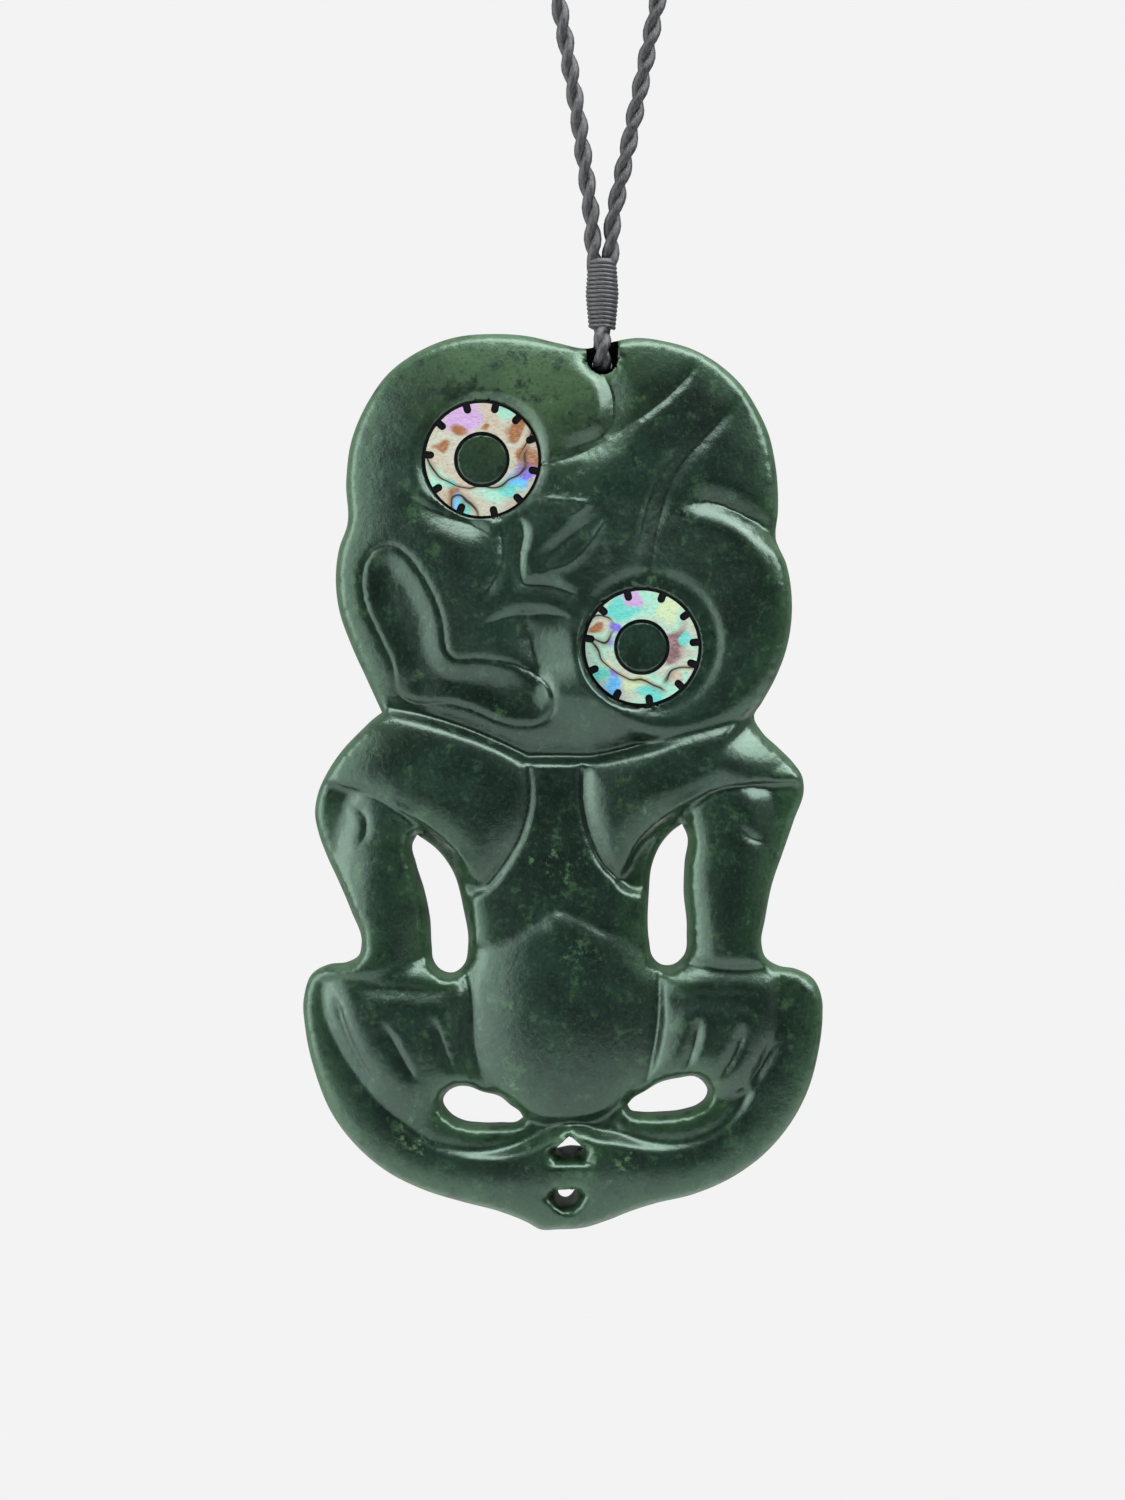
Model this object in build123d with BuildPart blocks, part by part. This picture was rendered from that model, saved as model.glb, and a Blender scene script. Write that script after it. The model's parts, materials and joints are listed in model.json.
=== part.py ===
# Greenstone hei tiki pendant on a twisted neck cord, hanging as worn.
# Millimetres, +Z up, the carved face looks along -Y. The origin is where the cord loop rests on the nape.
import math
import os
from typing import NamedTuple

from build123d import *

# The stone figure
tiki_width = 58.0
tiki_height = 100.0
tiki_depth = 9.0
slab_thickness = 4.8
back_distance = 3.6
rim_width = 0.8
rim_step = 1.0

# The suspension hole and the bridge of stone above it
bore_radius = 1.2
bridge_height = 1.05
bridge_thickness = 1.8
bridge_clearance = 0.25
notch_width = 3.4
hole_across = 0.0746
hole_edge_up = 0.988

# The cord and its whipping
cord_diameter = 2.0
cord_seat = 0.15
whipping_length = 7.6
whipping_top_diameter = 2.8
whipping_middle_diameter = 3.4
whipping_bottom_diameter = 2.6
crotch_height = 1.4
bore_to_whipping = 4.06
bight_spread = 0.6
bight_shoulder = 2.7
bight_neck = 3.96
bight_bend = 1.3
join_diameter = 5.0
join_length = 9.0
join_round = 0.8
bend_share = 0.45

# The eyes
ring_radius = 6.26
pupil_radius = 3.1
ring_thickness = 1.2
resin_width = 0.3
resin_under = 0.25
resin_below_ring = 0.12
upper_socket_radius = 7.8
lower_socket_radius = 8.3
socket_floor = 6.2
socket_flare = 1.3
socket_reach = 3.0
ring_proud = 0.2
fit_gap = 0.03
eye_notch_width = 0.84
eye_notch_depth = 0.96

# Carved lines and the mouth
line_width = 1.2
line_depth = 0.55
mouth_floor = 6.0
mouth_line_width = 0.8
tongue_top = 7.2
tongue_fall = 0.9
tongue_reach = 14.0
navel_radius = 1.7
navel_rise = 0.5
elbow_radius = 2.6
elbow_rise = 0.45

# Outline of the figure, clockwise from the left side of the neck: across is a share of tiki_width from the
# centreline, up a share of tiki_height from the foot.
outline_points = [
    (-0.350, 0.578), (-0.380, 0.616), (-0.409, 0.653), (-0.432, 0.691), (-0.439, 0.728), (-0.432, 0.762),
    (-0.417, 0.787), (-0.419, 0.836), (-0.409, 0.881), (-0.376, 0.926), (-0.339, 0.956), (-0.284, 0.980),
    (-0.211, 0.997), (-0.138, 1.001), (-0.064, 0.998), (-0.009, 0.990), (0.043, 0.984), (0.091, 0.991),
    (0.147, 0.996), (0.193, 0.993), (0.249, 0.984), (0.305, 0.965), (0.345, 0.943), (0.374, 0.917),
    (0.396, 0.889), (0.407, 0.862), (0.413, 0.834), (0.414, 0.803), (0.410, 0.772), (0.430, 0.743),
    (0.440, 0.708), (0.430, 0.649), (0.411, 0.619), (0.382, 0.588), (0.368, 0.574), (0.382, 0.557),
    (0.414, 0.539), (0.443, 0.522), (0.461, 0.506), (0.464, 0.494), (0.444, 0.456), (0.422, 0.419),
    (0.403, 0.387), (0.389, 0.347), (0.382, 0.320), (0.389, 0.305), (0.414, 0.295), (0.449, 0.291),
    (0.482, 0.280), (0.499, 0.257), (0.500, 0.239), (0.491, 0.196), (0.470, 0.153), (0.434, 0.115),
    (0.389, 0.085), (0.322, 0.057), (0.249, 0.039), (0.176, 0.029), (0.132, 0.021), (0.084, 0.010),
    (0.039, 0.002), (-0.009, 0.000), (-0.044, 0.000), (-0.070, 0.008), (-0.122, 0.020), (-0.195, 0.031),
    (-0.268, 0.044), (-0.341, 0.065), (-0.397, 0.092), (-0.445, 0.128), (-0.478, 0.174), (-0.497, 0.221),
    (-0.500, 0.261), (-0.484, 0.286), (-0.453, 0.296), (-0.416, 0.299), (-0.395, 0.306), (-0.389, 0.320),
    (-0.409, 0.356), (-0.430, 0.385), (-0.457, 0.419), (-0.473, 0.445), (-0.479, 0.464), (-0.473, 0.488),
    (-0.457, 0.509), (-0.427, 0.535), (-0.386, 0.560), (-0.368, 0.570),
]

# Openings through the figure, as closed curves of (across, up)
gap_points = {
    "left arm": [
        (-0.282, 0.441), (-0.291, 0.431), (-0.284, 0.409), (-0.268, 0.379), (-0.257, 0.347), (-0.254, 0.317),
        (-0.250, 0.300), (-0.236, 0.290), (-0.212, 0.287), (-0.193, 0.295), (-0.184, 0.318), (-0.193, 0.358),
        (-0.216, 0.403), (-0.243, 0.424),
    ],
    "right arm": [
        (0.229, 0.453), (0.239, 0.440), (0.234, 0.411), (0.232, 0.379), (0.238, 0.335), (0.231, 0.305),
        (0.212, 0.296), (0.189, 0.296), (0.172, 0.305), (0.166, 0.321), (0.165, 0.374), (0.172, 0.409),
        (0.189, 0.431), (0.212, 0.446),
    ],
    "left leg": [
        (-0.232, 0.143), (-0.220, 0.153), (-0.195, 0.159), (-0.159, 0.155), (-0.128, 0.149), (-0.091, 0.135),
        (-0.078, 0.125), (-0.093, 0.116), (-0.132, 0.111), (-0.172, 0.113), (-0.205, 0.121), (-0.226, 0.133),
    ],
    "right leg": [
        (0.124, 0.139), (0.145, 0.150), (0.184, 0.163), (0.220, 0.168), (0.257, 0.169), (0.274, 0.160),
        (0.276, 0.147), (0.261, 0.134), (0.224, 0.125), (0.180, 0.123), (0.148, 0.125), (0.128, 0.132),
    ],
}

# Funnels under the belly: the wide mouth at the front and the small opening at the back
funnel_points = {
    "upper": {
        "mouth": [(0.012, 0.108), (-0.042, 0.074), (0.067, 0.074)],
        "back": [(0.012, 0.103), (-0.013, 0.086), (0.040, 0.086)],
    },
    "lower": {
        "mouth": [(-0.042, 0.046), (0.011, 0.018), (0.046, 0.046)],
        "back": [(-0.018, 0.046), (0.006, 0.031), (0.024, 0.046)],
    },
}


class Form(NamedTuple):
    """A raised form: its region, cut off under a crowned surface that is a ball or a bar."""

    crown: str
    across: float  # centre of the crown, a share of tiki_width
    up: float  # centre of the crown, a share of tiki_height
    top: float  # height of the crown over the back, a share of tiki_depth
    fall: float  # how far the crown falls, a share of tiki_depth
    reach: float  # the distance over which it falls so far, a share of tiki_width
    lean: float  # direction of a bar in degrees from upright, clockwise
    region: list


forms = {
    "head": Form("ball", 0.0, 0.765, 0.93, 0.34, 0.44, 0.0, [
        (-0.343, 0.578), (-0.211, 0.557), (-0.101, 0.531), (-0.007, 0.529), (0.064, 0.525), (0.176, 0.539),
        (0.368, 0.573), (0.550, 0.600), (0.550, 1.050), (-0.550, 1.050), (-0.550, 0.600),
    ]),
    "cheek": Form("ball", 0.24, 0.690, 0.93, 0.17, 0.20, 0.0, [
        (0.100, 0.560), (0.176, 0.546), (0.368, 0.576), (0.550, 0.600), (0.550, 0.765), (0.411, 0.768),
        (0.370, 0.786), (0.322, 0.800), (0.274, 0.808), (0.212, 0.802), (0.182, 0.770), (0.170, 0.730),
        (0.100, 0.690),
    ]),
    "left upper arm": Form("ball", -0.26, 0.500, 0.84, 0.24, 0.22, 0.0, [
        (-0.350, 0.576), (-0.211, 0.556), (-0.101, 0.530), (-0.076, 0.522), (-0.070, 0.485), (-0.084, 0.447),
        (-0.114, 0.415), (-0.151, 0.387), (-0.168, 0.389), (-0.212, 0.428), (-0.261, 0.452), (-0.320, 0.471),
        (-0.386, 0.492), (-0.441, 0.499), (-0.550, 0.490), (-0.550, 0.580),
    ]),
    "right upper arm": Form("ball", 0.24, 0.505, 0.84, 0.24, 0.22, 0.0, [
        (0.368, 0.572), (0.249, 0.552), (0.176, 0.538), (0.064, 0.524), (0.034, 0.522), (0.034, 0.485),
        (0.047, 0.443), (0.076, 0.407), (0.105, 0.391), (0.124, 0.411), (0.139, 0.431), (0.176, 0.454),
        (0.230, 0.473), (0.286, 0.492), (0.370, 0.501), (0.550, 0.498), (0.550, 0.580),
    ]),
    "left forearm": Form("bar", -0.345, 0.380, 0.76, 0.22, 0.105, 13.0, [
        (-0.550, 0.486), (-0.441, 0.495), (-0.386, 0.488), (-0.320, 0.467), (-0.282, 0.450), (-0.270, 0.400),
        (-0.230, 0.300), (-0.300, 0.270), (-0.550, 0.270),
    ]),
    "right forearm": Form("bar", 0.315, 0.390, 0.76, 0.22, 0.105, -9.0, [
        (0.550, 0.494), (0.370, 0.497), (0.286, 0.488), (0.240, 0.472), (0.225, 0.400), (0.215, 0.300),
        (0.280, 0.270), (0.550, 0.270),
    ]),
    "chest": Form("bar", -0.005, 0.420, 0.72, 0.10, 0.13, 0.0, [
        (-0.066, 0.520), (-0.060, 0.485), (-0.074, 0.444), (-0.104, 0.411), (-0.141, 0.383), (-0.175, 0.370),
        (-0.172, 0.323), (-0.139, 0.321), (-0.084, 0.334), (-0.043, 0.349), (-0.013, 0.366), (0.028, 0.353),
        (0.072, 0.338), (0.109, 0.330), (0.153, 0.326), (0.153, 0.375), (0.119, 0.378), (0.086, 0.402),
        (0.057, 0.440), (0.044, 0.485), (0.044, 0.520),
    ]),
    "belly": Form("ball", 0.0, 0.245, 1.00, 0.32, 0.185, 0.0, [
        (-0.172, 0.318), (-0.084, 0.330), (-0.043, 0.345), (-0.013, 0.362), (0.028, 0.349), (0.072, 0.334),
        (0.158, 0.320), (0.174, 0.300), (0.180, 0.257), (0.174, 0.213), (0.147, 0.168), (0.089, 0.136),
        (0.007, 0.123), (-0.084, 0.134), (-0.141, 0.162), (-0.172, 0.201), (-0.180, 0.257),
    ]),
    "left thigh": Form("ball", -0.30, 0.225, 0.80, 0.20, 0.20, 0.0, [
        (-0.453, 0.300), (-0.389, 0.310), (-0.250, 0.292), (-0.212, 0.284), (-0.190, 0.295), (-0.186, 0.257),
        (-0.178, 0.198), (-0.150, 0.162), (-0.195, 0.164), (-0.226, 0.156), (-0.268, 0.150), (-0.336, 0.150),
        (-0.368, 0.153), (-0.405, 0.184), (-0.436, 0.228), (-0.450, 0.271),
    ]),
    "right thigh": Form("ball", 0.29, 0.225, 0.80, 0.20, 0.20, 0.0, [
        (0.414, 0.300), (0.382, 0.310), (0.231, 0.298), (0.189, 0.292), (0.172, 0.305), (0.182, 0.285),
        (0.188, 0.250), (0.180, 0.210), (0.158, 0.168), (0.184, 0.168), (0.220, 0.174), (0.262, 0.174),
        (0.284, 0.164), (0.345, 0.170), (0.384, 0.205), (0.402, 0.233), (0.409, 0.261),
    ]),
    "lower legs": Form("ball", 0.0, 0.257, 1.06, 0.49, 0.49, 0.0, [
        (-0.550, 0.310), (-0.463, 0.300), (-0.457, 0.271), (-0.441, 0.228), (-0.405, 0.176), (-0.368, 0.145),
        (-0.320, 0.126), (-0.268, 0.107), (-0.212, 0.091), (-0.159, 0.083), (-0.084, 0.087), (-0.041, 0.098),
        (0.012, 0.112), (0.070, 0.098), (0.120, 0.103), (0.157, 0.094), (0.212, 0.093), (0.268, 0.101),
        (0.314, 0.118), (0.359, 0.139), (0.398, 0.185), (0.416, 0.233), (0.421, 0.265), (0.418, 0.300),
        (0.550, 0.310), (0.550, -0.050), (-0.550, -0.050),
    ]),
}

mouth_points = [
    (-0.334, 0.763), (-0.368, 0.754), (-0.382, 0.738), (-0.380, 0.700), (-0.355, 0.666), (-0.328, 0.632),
    (-0.311, 0.595), (-0.277, 0.587), (-0.226, 0.588), (-0.174, 0.581), (-0.118, 0.567), (-0.070, 0.563),
    (-0.034, 0.569), (-0.018, 0.588), (-0.030, 0.609), (-0.070, 0.625), (-0.126, 0.635), (-0.174, 0.637),
    (-0.214, 0.639), (-0.225, 0.650), (-0.230, 0.674), (-0.247, 0.705), (-0.277, 0.736), (-0.307, 0.756),
]

mouth_middle = (-0.23, 0.655)

# Round bosses: the form that each stands on, its centre as (across, up), its radius and its rise
bosses = {
    "navel": ("belly", (-0.009, 0.342), navel_radius, navel_rise),
    "left elbow": ("left forearm", (-0.405, 0.447), elbow_radius, elbow_rise),
    "right elbow": ("right forearm", (0.372, 0.466), elbow_radius, elbow_rise),
}

# Carved lines: the form whose surface each follows, and its course as (across, up)
carved_lines = {
    "brow curl": ("head", [(-0.026, 0.972), (0.028, 0.953), (0.082, 0.913), (0.062, 0.876), (-0.026, 0.866)]),
    "upper brow": ("head", [(-0.045, 0.853), (0.047, 0.868), (0.147, 0.898), (0.212, 0.933), (0.262, 0.968)]),
    "lower brow": ("head", [(0.345, 0.936), (0.268, 0.885), (0.197, 0.826), (0.168, 0.739), (0.158, 0.705)]),
    "nose left": ("head", [(-0.093, 0.795), (-0.074, 0.766), (-0.082, 0.732)]),
    "nose foot": ("head", [(-0.076, 0.722), (-0.014, 0.716), (0.043, 0.705)]),
    "nose slope": ("head", [(-0.072, 0.733), (-0.014, 0.738), (0.032, 0.761), (0.076, 0.786)]),
    "nose right": ("head", [(0.082, 0.788), (0.082, 0.766), (0.093, 0.727)]),
    "cheek fold": (
        "head",
        [(-0.138, 0.790), (-0.122, 0.761), (-0.120, 0.736), (-0.145, 0.714), (-0.174, 0.682)],
    ),
    "lip": ("head", [(-0.157, 0.669), (-0.082, 0.686), (-0.026, 0.686), (0.036, 0.677)]),
    "left finger one": ("left thigh", [(-0.420, 0.265), (-0.389, 0.200), (-0.345, 0.164)]),
    "left finger two": ("left thigh", [(-0.345, 0.235), (-0.301, 0.191), (-0.272, 0.164)]),
    "left finger three": ("left thigh", [(-0.253, 0.243), (-0.216, 0.191), (-0.199, 0.170)]),
    "right finger one": ("right thigh", [(0.259, 0.246), (0.243, 0.213), (0.228, 0.181)]),
    "right finger two": ("right thigh", [(0.338, 0.235), (0.316, 0.201), (0.293, 0.168)]),
}

# The eyes: centre as (across, up) and the directions of the ring's notches in degrees from +X, anticlockwise
eyes = {
    "upper": {
        "centre": (-0.156, 0.858),
        "socket": upper_socket_radius,
        "notches": [106, 75.5, 49, 22, -12, -47, -77, -113, -147, 175, 140],
    },
    "lower": {
        "centre": (0.150, 0.650),
        "socket": lower_socket_radius,
        "notches": [105, 68, 36, 5, -18, -45, -82, -117.5, -155, 171, 137],
    },
}

# Route of the neck cord, as (away from the middle, above the crotch), from the crotch up to the join
neck_route_left = [
    (1.05, 0.0), (1.05, 2.5), (1.68, 7.5), (3.04, 17.4), (6.58, 37.1), (14.35, 76.3), (25.80, 135.2),
    (36.39, 190.2), (43.75, 229.5), (48.60, 258.1), (46.40, 276.2), (38.80, 292.6), (28.40, 303.4),
    (16.00, 308.5), (4.50, 308.5),
]
neck_route_right = [
    (1.05, 0.0), (1.05, 2.5), (2.05, 7.4), (4.16, 17.2), (8.04, 36.8), (15.20, 76.2), (26.13, 135.2),
    (36.62, 190.2), (43.84, 229.5), (48.38, 258.1), (46.60, 276.0), (39.10, 292.4), (28.60, 303.5),
    (16.20, 308.5), (4.50, 308.5),
]

# Levels of the hanging parts
cord_radius = cord_diameter / 2
loop_top = neck_route_left[-1][1]
crotch_z = join_diameter / 2 - loop_top
whipping_top_z = crotch_z - crotch_height
whipping_bottom_z = whipping_top_z - whipping_length
bore_z = whipping_bottom_z - bore_to_whipping
bore_up = hole_edge_up * tiki_height - bridge_height - bore_radius

# The bight's legs, and the saddle: the bridge is eased along the legs so that the stone can swing on the cord
leg_y = bridge_thickness / 2 + cord_seat + cord_radius
leg_rise = (bight_neck - bight_shoulder) / (leg_y - bight_spread)
saddle_drop = (cord_radius + bridge_clearance) * math.hypot(1, leg_rise)
saddle_ridge = bight_neck + bight_spread * leg_rise - saddle_drop
saddle_points = [
    (-leg_y, saddle_ridge - leg_y * leg_rise),
    (0, saddle_ridge),
    (leg_y, saddle_ridge - leg_y * leg_rise),
    (leg_y, bight_neck),
    (-leg_y, bight_neck),
]

# The figure's plane is its back: x across, y up from the foot, z out towards the carved face
figure = Plane(
    origin=(-hole_across * tiki_width, back_distance, bore_z - bore_up),
    x_dir=(1, 0, 0),
    z_dir=(0, -1, 0),
)


def spot(across, up):
    """A place on the figure's plane, from its shares of the width and the height."""
    return (across * tiki_width, up * tiki_height)


def crown_radius(form):
    """Radius of the ball or bar that falls by the form's fall over its reach."""
    fall = form.fall * tiki_depth
    reach = form.reach * tiki_width
    return (reach**2 + fall**2) / (2 * fall)


def crown_height(form, place):
    """Height of a form's crowned surface over the back, at a place on the figure's plane."""
    radius = crown_radius(form)
    middle = spot(form.across, form.up)
    along = place[0] - middle[0]
    over = place[1] - middle[1]
    lean = math.radians(form.lean)
    if form.crown == "bar":
        away = abs(along * math.cos(lean) - over * math.sin(lean))
    else:
        away = math.hypot(along, over)
    return form.top * tiki_depth - radius + math.sqrt(radius**2 - away**2)


def closed_curve(points):
    """A closed chain of arcs through an even count of points, each arc over two spans."""
    places = [spot(*row) for row in points]
    for i in range(0, len(places), 2):
        ThreePointArc(places[i], places[i + 1], places[(i + 2) % len(places)])


def carve_line(form, course):
    """A round-bottomed line along a course, sunk line_depth into the form's crowned surface."""
    radius = line_width / 2
    track = []
    for row in course:
        place = spot(*row)
        height = max(crown_height(form, place), slab_thickness) + radius - line_depth
        track.append(figure.from_local_coords(Vector(place[0], place[1], height)))
    with BuildPart() as cutter:
        with BuildLine() as path:
            Spline(*track)
        with BuildSketch(Plane(origin=path.line @ 0, z_dir=path.line % 0)):
            Circle(radius)
        sweep()
        with Locations(path.line @ 0, path.line @ 1):
            Sphere(radius)
    return cutter.part


os.makedirs("parts", exist_ok=True)

# Outline of the stone, and the same drawn in by the width of its rim
with BuildSketch(figure) as outline:
    with BuildLine():
        closed_curve(outline_points)
    make_face()
with BuildSketch(figure) as inner_outline:
    add(outline.sketch_local)
    offset(amount=-rim_width, kind=Kind.ARC)

# The raised forms, each cut off under its crown
raised = {}
for name, form in forms.items():
    radius = crown_radius(form)
    middle = spot(form.across, form.up)
    height = form.top * tiki_depth
    with BuildPart() as shape:
        add(inner_outline.sketch)
        extrude(amount=height, dir=figure.z_dir)
        with BuildSketch(figure):
            with BuildLine():
                Polyline(*[spot(*row) for row in form.region], close=True)
            make_face()
        extrude(amount=height, mode=Mode.INTERSECT)
        with Locations(figure.location * Location((middle[0], middle[1], height - radius))):
            if form.crown == "bar":
                Cylinder(radius, 2 * tiki_height, rotation=(-90, 0, -form.lean), mode=Mode.INTERSECT)
            else:
                Sphere(radius, mode=Mode.INTERSECT)
    raised[name] = shape.part

# The full outline stands back from both faces by a step, which eases the rim
with BuildPart() as middle_slab:
    with BuildSketch(figure.offset(rim_step)):
        add(outline.sketch_local)
    extrude(amount=slab_thickness - 2 * rim_step)

# The bosses, each a round column under a domed top that stands over its form
raised_bosses = []
for form_name, centre, radius, rise in bosses.values():
    place = spot(*centre)
    top = crown_height(forms[form_name], place) + rise
    dome_fall = 2 * rise
    dome_radius = (radius**2 + dome_fall**2) / (2 * dome_fall)
    with BuildPart() as boss:
        with BuildSketch(figure.offset(slab_thickness / 2)):
            with Locations(place):
                Circle(radius)
        extrude(amount=top - slab_thickness / 2)
        with Locations(figure.location * Location((*place, top - dome_radius))):
            Sphere(dome_radius, mode=Mode.INTERSECT)
    raised_bosses.append(boss.part)

# The tongue that fills the mouth inside its carved line
with BuildPart() as tongue:
    with BuildSketch(figure.offset(mouth_floor - line_depth)):
        with BuildLine():
            closed_curve(mouth_points)
        make_face()
        offset(amount=-mouth_line_width, kind=Kind.ARC)
    extrude(amount=tongue_top)
    tongue_radius = (tongue_reach**2 + tongue_fall**2) / (2 * tongue_fall)
    with Locations(figure.location * Location((*spot(*mouth_middle), tongue_top - tongue_radius))):
        Sphere(tongue_radius, mode=Mode.INTERSECT)

# The stone with its forms, openings, mouth, sockets, lines and suspension hole
hole_x, hole_y = hole_across * tiki_width, bore_up
bridge_front = back_distance + bridge_thickness / 2
bridge_back = back_distance - bridge_thickness / 2
with BuildPart() as tiki:
    add(inner_outline.sketch)
    extrude(amount=slab_thickness, dir=figure.z_dir)
    add(middle_slab.part)
    for shape in raised.values():
        add(shape)
    for shape in raised_bosses:
        add(shape)
    for points in gap_points.values():
        with BuildSketch(figure):
            with BuildLine():
                closed_curve(points)
            make_face()
        extrude(amount=tiki_depth, mode=Mode.SUBTRACT)
    for funnel in funnel_points.values():
        with BuildSketch(figure):
            with BuildLine():
                Polyline(*[spot(*row) for row in funnel["back"]], close=True)
            make_face()
        with BuildSketch(figure.offset(tiki_depth)):
            with BuildLine():
                Polyline(*[spot(*row) for row in funnel["mouth"]], close=True)
            make_face()
        loft(mode=Mode.SUBTRACT)
    with BuildSketch(figure.offset(mouth_floor)):
        with BuildLine():
            closed_curve(mouth_points)
        make_face()
    extrude(amount=tiki_depth, mode=Mode.SUBTRACT)
    add(tongue.part)
    for eye in eyes.values():
        with Locations(figure.location * Location((*spot(*eye["centre"]), socket_floor))):
            Cone(
                eye["socket"] - socket_flare,
                eye["socket"] + socket_flare,
                socket_reach,
                align=(Align.CENTER, Align.CENTER, Align.MIN),
                mode=Mode.SUBTRACT,
            )
        channel_floor = socket_floor + ring_proud - ring_thickness - resin_under
        with BuildSketch(figure.offset(channel_floor)):
            with Locations(spot(*eye["centre"])):
                Circle(ring_radius + resin_width)
                Circle(pupil_radius - resin_width, mode=Mode.SUBTRACT)
        extrude(amount=tiki_depth, mode=Mode.SUBTRACT)
    for form_name, course in carved_lines.values():
        add(carve_line(forms[form_name], course), mode=Mode.SUBTRACT)
    with BuildSketch(figure):
        with Locations((hole_x, hole_y)):
            Circle(bore_radius)
    extrude(amount=tiki_depth, mode=Mode.SUBTRACT)
    for start, end in ((0, bridge_back), (bridge_front, tiki_depth)):
        with BuildSketch(figure.offset(start)):
            with Locations((hole_x, hole_y - bore_radius + notch_width / 2)):
                Circle(notch_width / 2)
                Rectangle(notch_width, tiki_height, align=(Align.CENTER, Align.MIN))
        extrude(amount=end - start, mode=Mode.SUBTRACT)
    with BuildSketch(Plane.YZ.offset(-notch_width / 2)):
        with BuildLine():
            Polyline(*[(y, bore_z + z) for y, z in saddle_points], close=True)
        make_face()
    extrude(amount=notch_width, mode=Mode.SUBTRACT)
tiki.part.label = "tiki"
export_step(tiki.part, "parts/tiki.step")

# The paua rings, notched round their edge, and the resin that each is set in
for name, eye in eyes.items():
    seat = figure.offset(socket_floor + ring_proud - ring_thickness)
    centre = spot(*eye["centre"])
    with BuildPart() as ring:
        with BuildSketch(seat):
            with Locations(centre):
                Circle(ring_radius)
                Circle(pupil_radius, mode=Mode.SUBTRACT)
                for angle in eye["notches"]:
                    with Locations(Location((0, 0), angle)):
                        with Locations((ring_radius, 0)):
                            SlotOverall(2 * eye_notch_depth, eye_notch_width, mode=Mode.SUBTRACT)
        extrude(amount=ring_thickness)
    ring.part.label = name + "_eye_ring"
    export_step(ring.part, "parts/" + ring.part.label + ".step")
    with BuildPart() as bed:
        with BuildSketch(seat.offset(fit_gap - resin_under)):
            with Locations(centre):
                Circle(ring_radius + resin_width - fit_gap)
                Circle(pupil_radius - resin_width + fit_gap, mode=Mode.SUBTRACT)
        extrude(amount=resin_under + ring_thickness - resin_below_ring - fit_gap)
        with BuildSketch(seat):
            with Locations(centre):
                Circle(ring_radius + fit_gap)
                Circle(pupil_radius - fit_gap, mode=Mode.SUBTRACT)
                for angle in eye["notches"]:
                    with Locations(Location((0, 0), angle)):
                        with Locations((ring_radius, 0)):
                            SlotOverall(
                                2 * eye_notch_depth - 2 * fit_gap,
                                eye_notch_width - 2 * fit_gap,
                                mode=Mode.SUBTRACT,
                            )
        extrude(amount=ring_thickness, mode=Mode.SUBTRACT)
    bed.part.label = name + "_eye_bed"
    export_step(bed.part, "parts/" + bed.part.label + ".step")

# The whipping: a barrel of thread, and above it the crotch where the two cords come together
with BuildPart() as cord_whipping:
    with BuildSketch(Plane.XZ):
        with BuildLine():
            barrel_top = (whipping_top_diameter / 2, whipping_top_z)
            barrel_middle = (whipping_middle_diameter / 2, (whipping_top_z + whipping_bottom_z) / 2)
            barrel_bottom = (whipping_bottom_diameter / 2, whipping_bottom_z)
            ThreePointArc(barrel_top, barrel_middle, barrel_bottom)
            Polyline(barrel_bottom, (0, whipping_bottom_z), (0, whipping_top_z), barrel_top)
        make_face()
    revolve(axis=Axis.Z)
    with BuildSketch(Plane.XY.offset(whipping_top_z)):
        Circle(whipping_top_diameter / 2)
    with BuildSketch(Plane.XY.offset(crotch_z)):
        Ellipse(neck_route_right[0][0] + cord_radius, cord_radius)
    loft()
cord_whipping.part.label = "cord_whipping"
export_step(cord_whipping.part, "parts/cord_whipping.step")

# The bight: down the front of the bridge, through the hole and up its back, to the whipping's underside
with BuildPart() as cord_bight:
    with BuildLine() as bight_path:
        FilletPolyline(
            (0, -leg_y, bore_z + bight_shoulder),
            (0, -leg_y, bore_z),
            (0, leg_y, bore_z),
            (0, leg_y, bore_z + bight_shoulder),
            radius=bight_bend,
        )
    with BuildSketch(Plane(origin=bight_path.line @ 0, z_dir=bight_path.line % 0)):
        Circle(cord_radius)
    sweep()
    for side in (-1, 1):
        shoulder = Vector(0, side * leg_y, bore_z + bight_shoulder)
        neck = Vector(0, side * bight_spread, bore_z + bight_neck)
        with Locations(shoulder, neck):
            Sphere(cord_radius)
        with BuildSketch(Plane(origin=shoulder, z_dir=neck - shoulder)):
            Circle(cord_radius)
        extrude(amount=(neck - shoulder).length)
    split(bisect_by=Plane.XY.offset(whipping_bottom_z), keep=Keep.BOTTOM)
cord_bight.part.label = "cord_bight"
export_step(cord_bight.part, "parts/cord_bight.step")

# The neck cord: two tubes that leave the crotch and meet in the join
for label, side, route in (("neck_cord_left", -1, neck_route_left), ("neck_cord_right", 1, neck_route_right)):
    corners = [Vector(side * out, 0, crotch_z + up) for out, up in route]
    bends = []
    for before, here, after in zip(corners, corners[1:], corners[2:]):
        arriving = here - before
        leaving = after - here
        half_turn = math.radians(arriving.get_angle(leaving)) / 2
        bends.append(bend_share * min(arriving.length, leaving.length) / math.tan(half_turn))
    with BuildPart() as neck_cord:
        with BuildLine() as cord_path:
            FilletPolyline(*corners, radius=bends)
        with BuildSketch(Plane(origin=cord_path.line @ 0, z_dir=cord_path.line % 0)):
            Circle(cord_radius)
        sweep()
    length = cord_path.wires()[0].length
    fullness = neck_cord.part.volume / (math.pi * cord_radius**2 * length)
    print(label, "length", round(length, 1), "bends", [round(bend, 1) for bend in bends])
    print(label, "volume over section times length", round(fullness, 4))
    neck_cord.part.label = label
    export_step(neck_cord.part, "parts/" + label + ".step")

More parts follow.
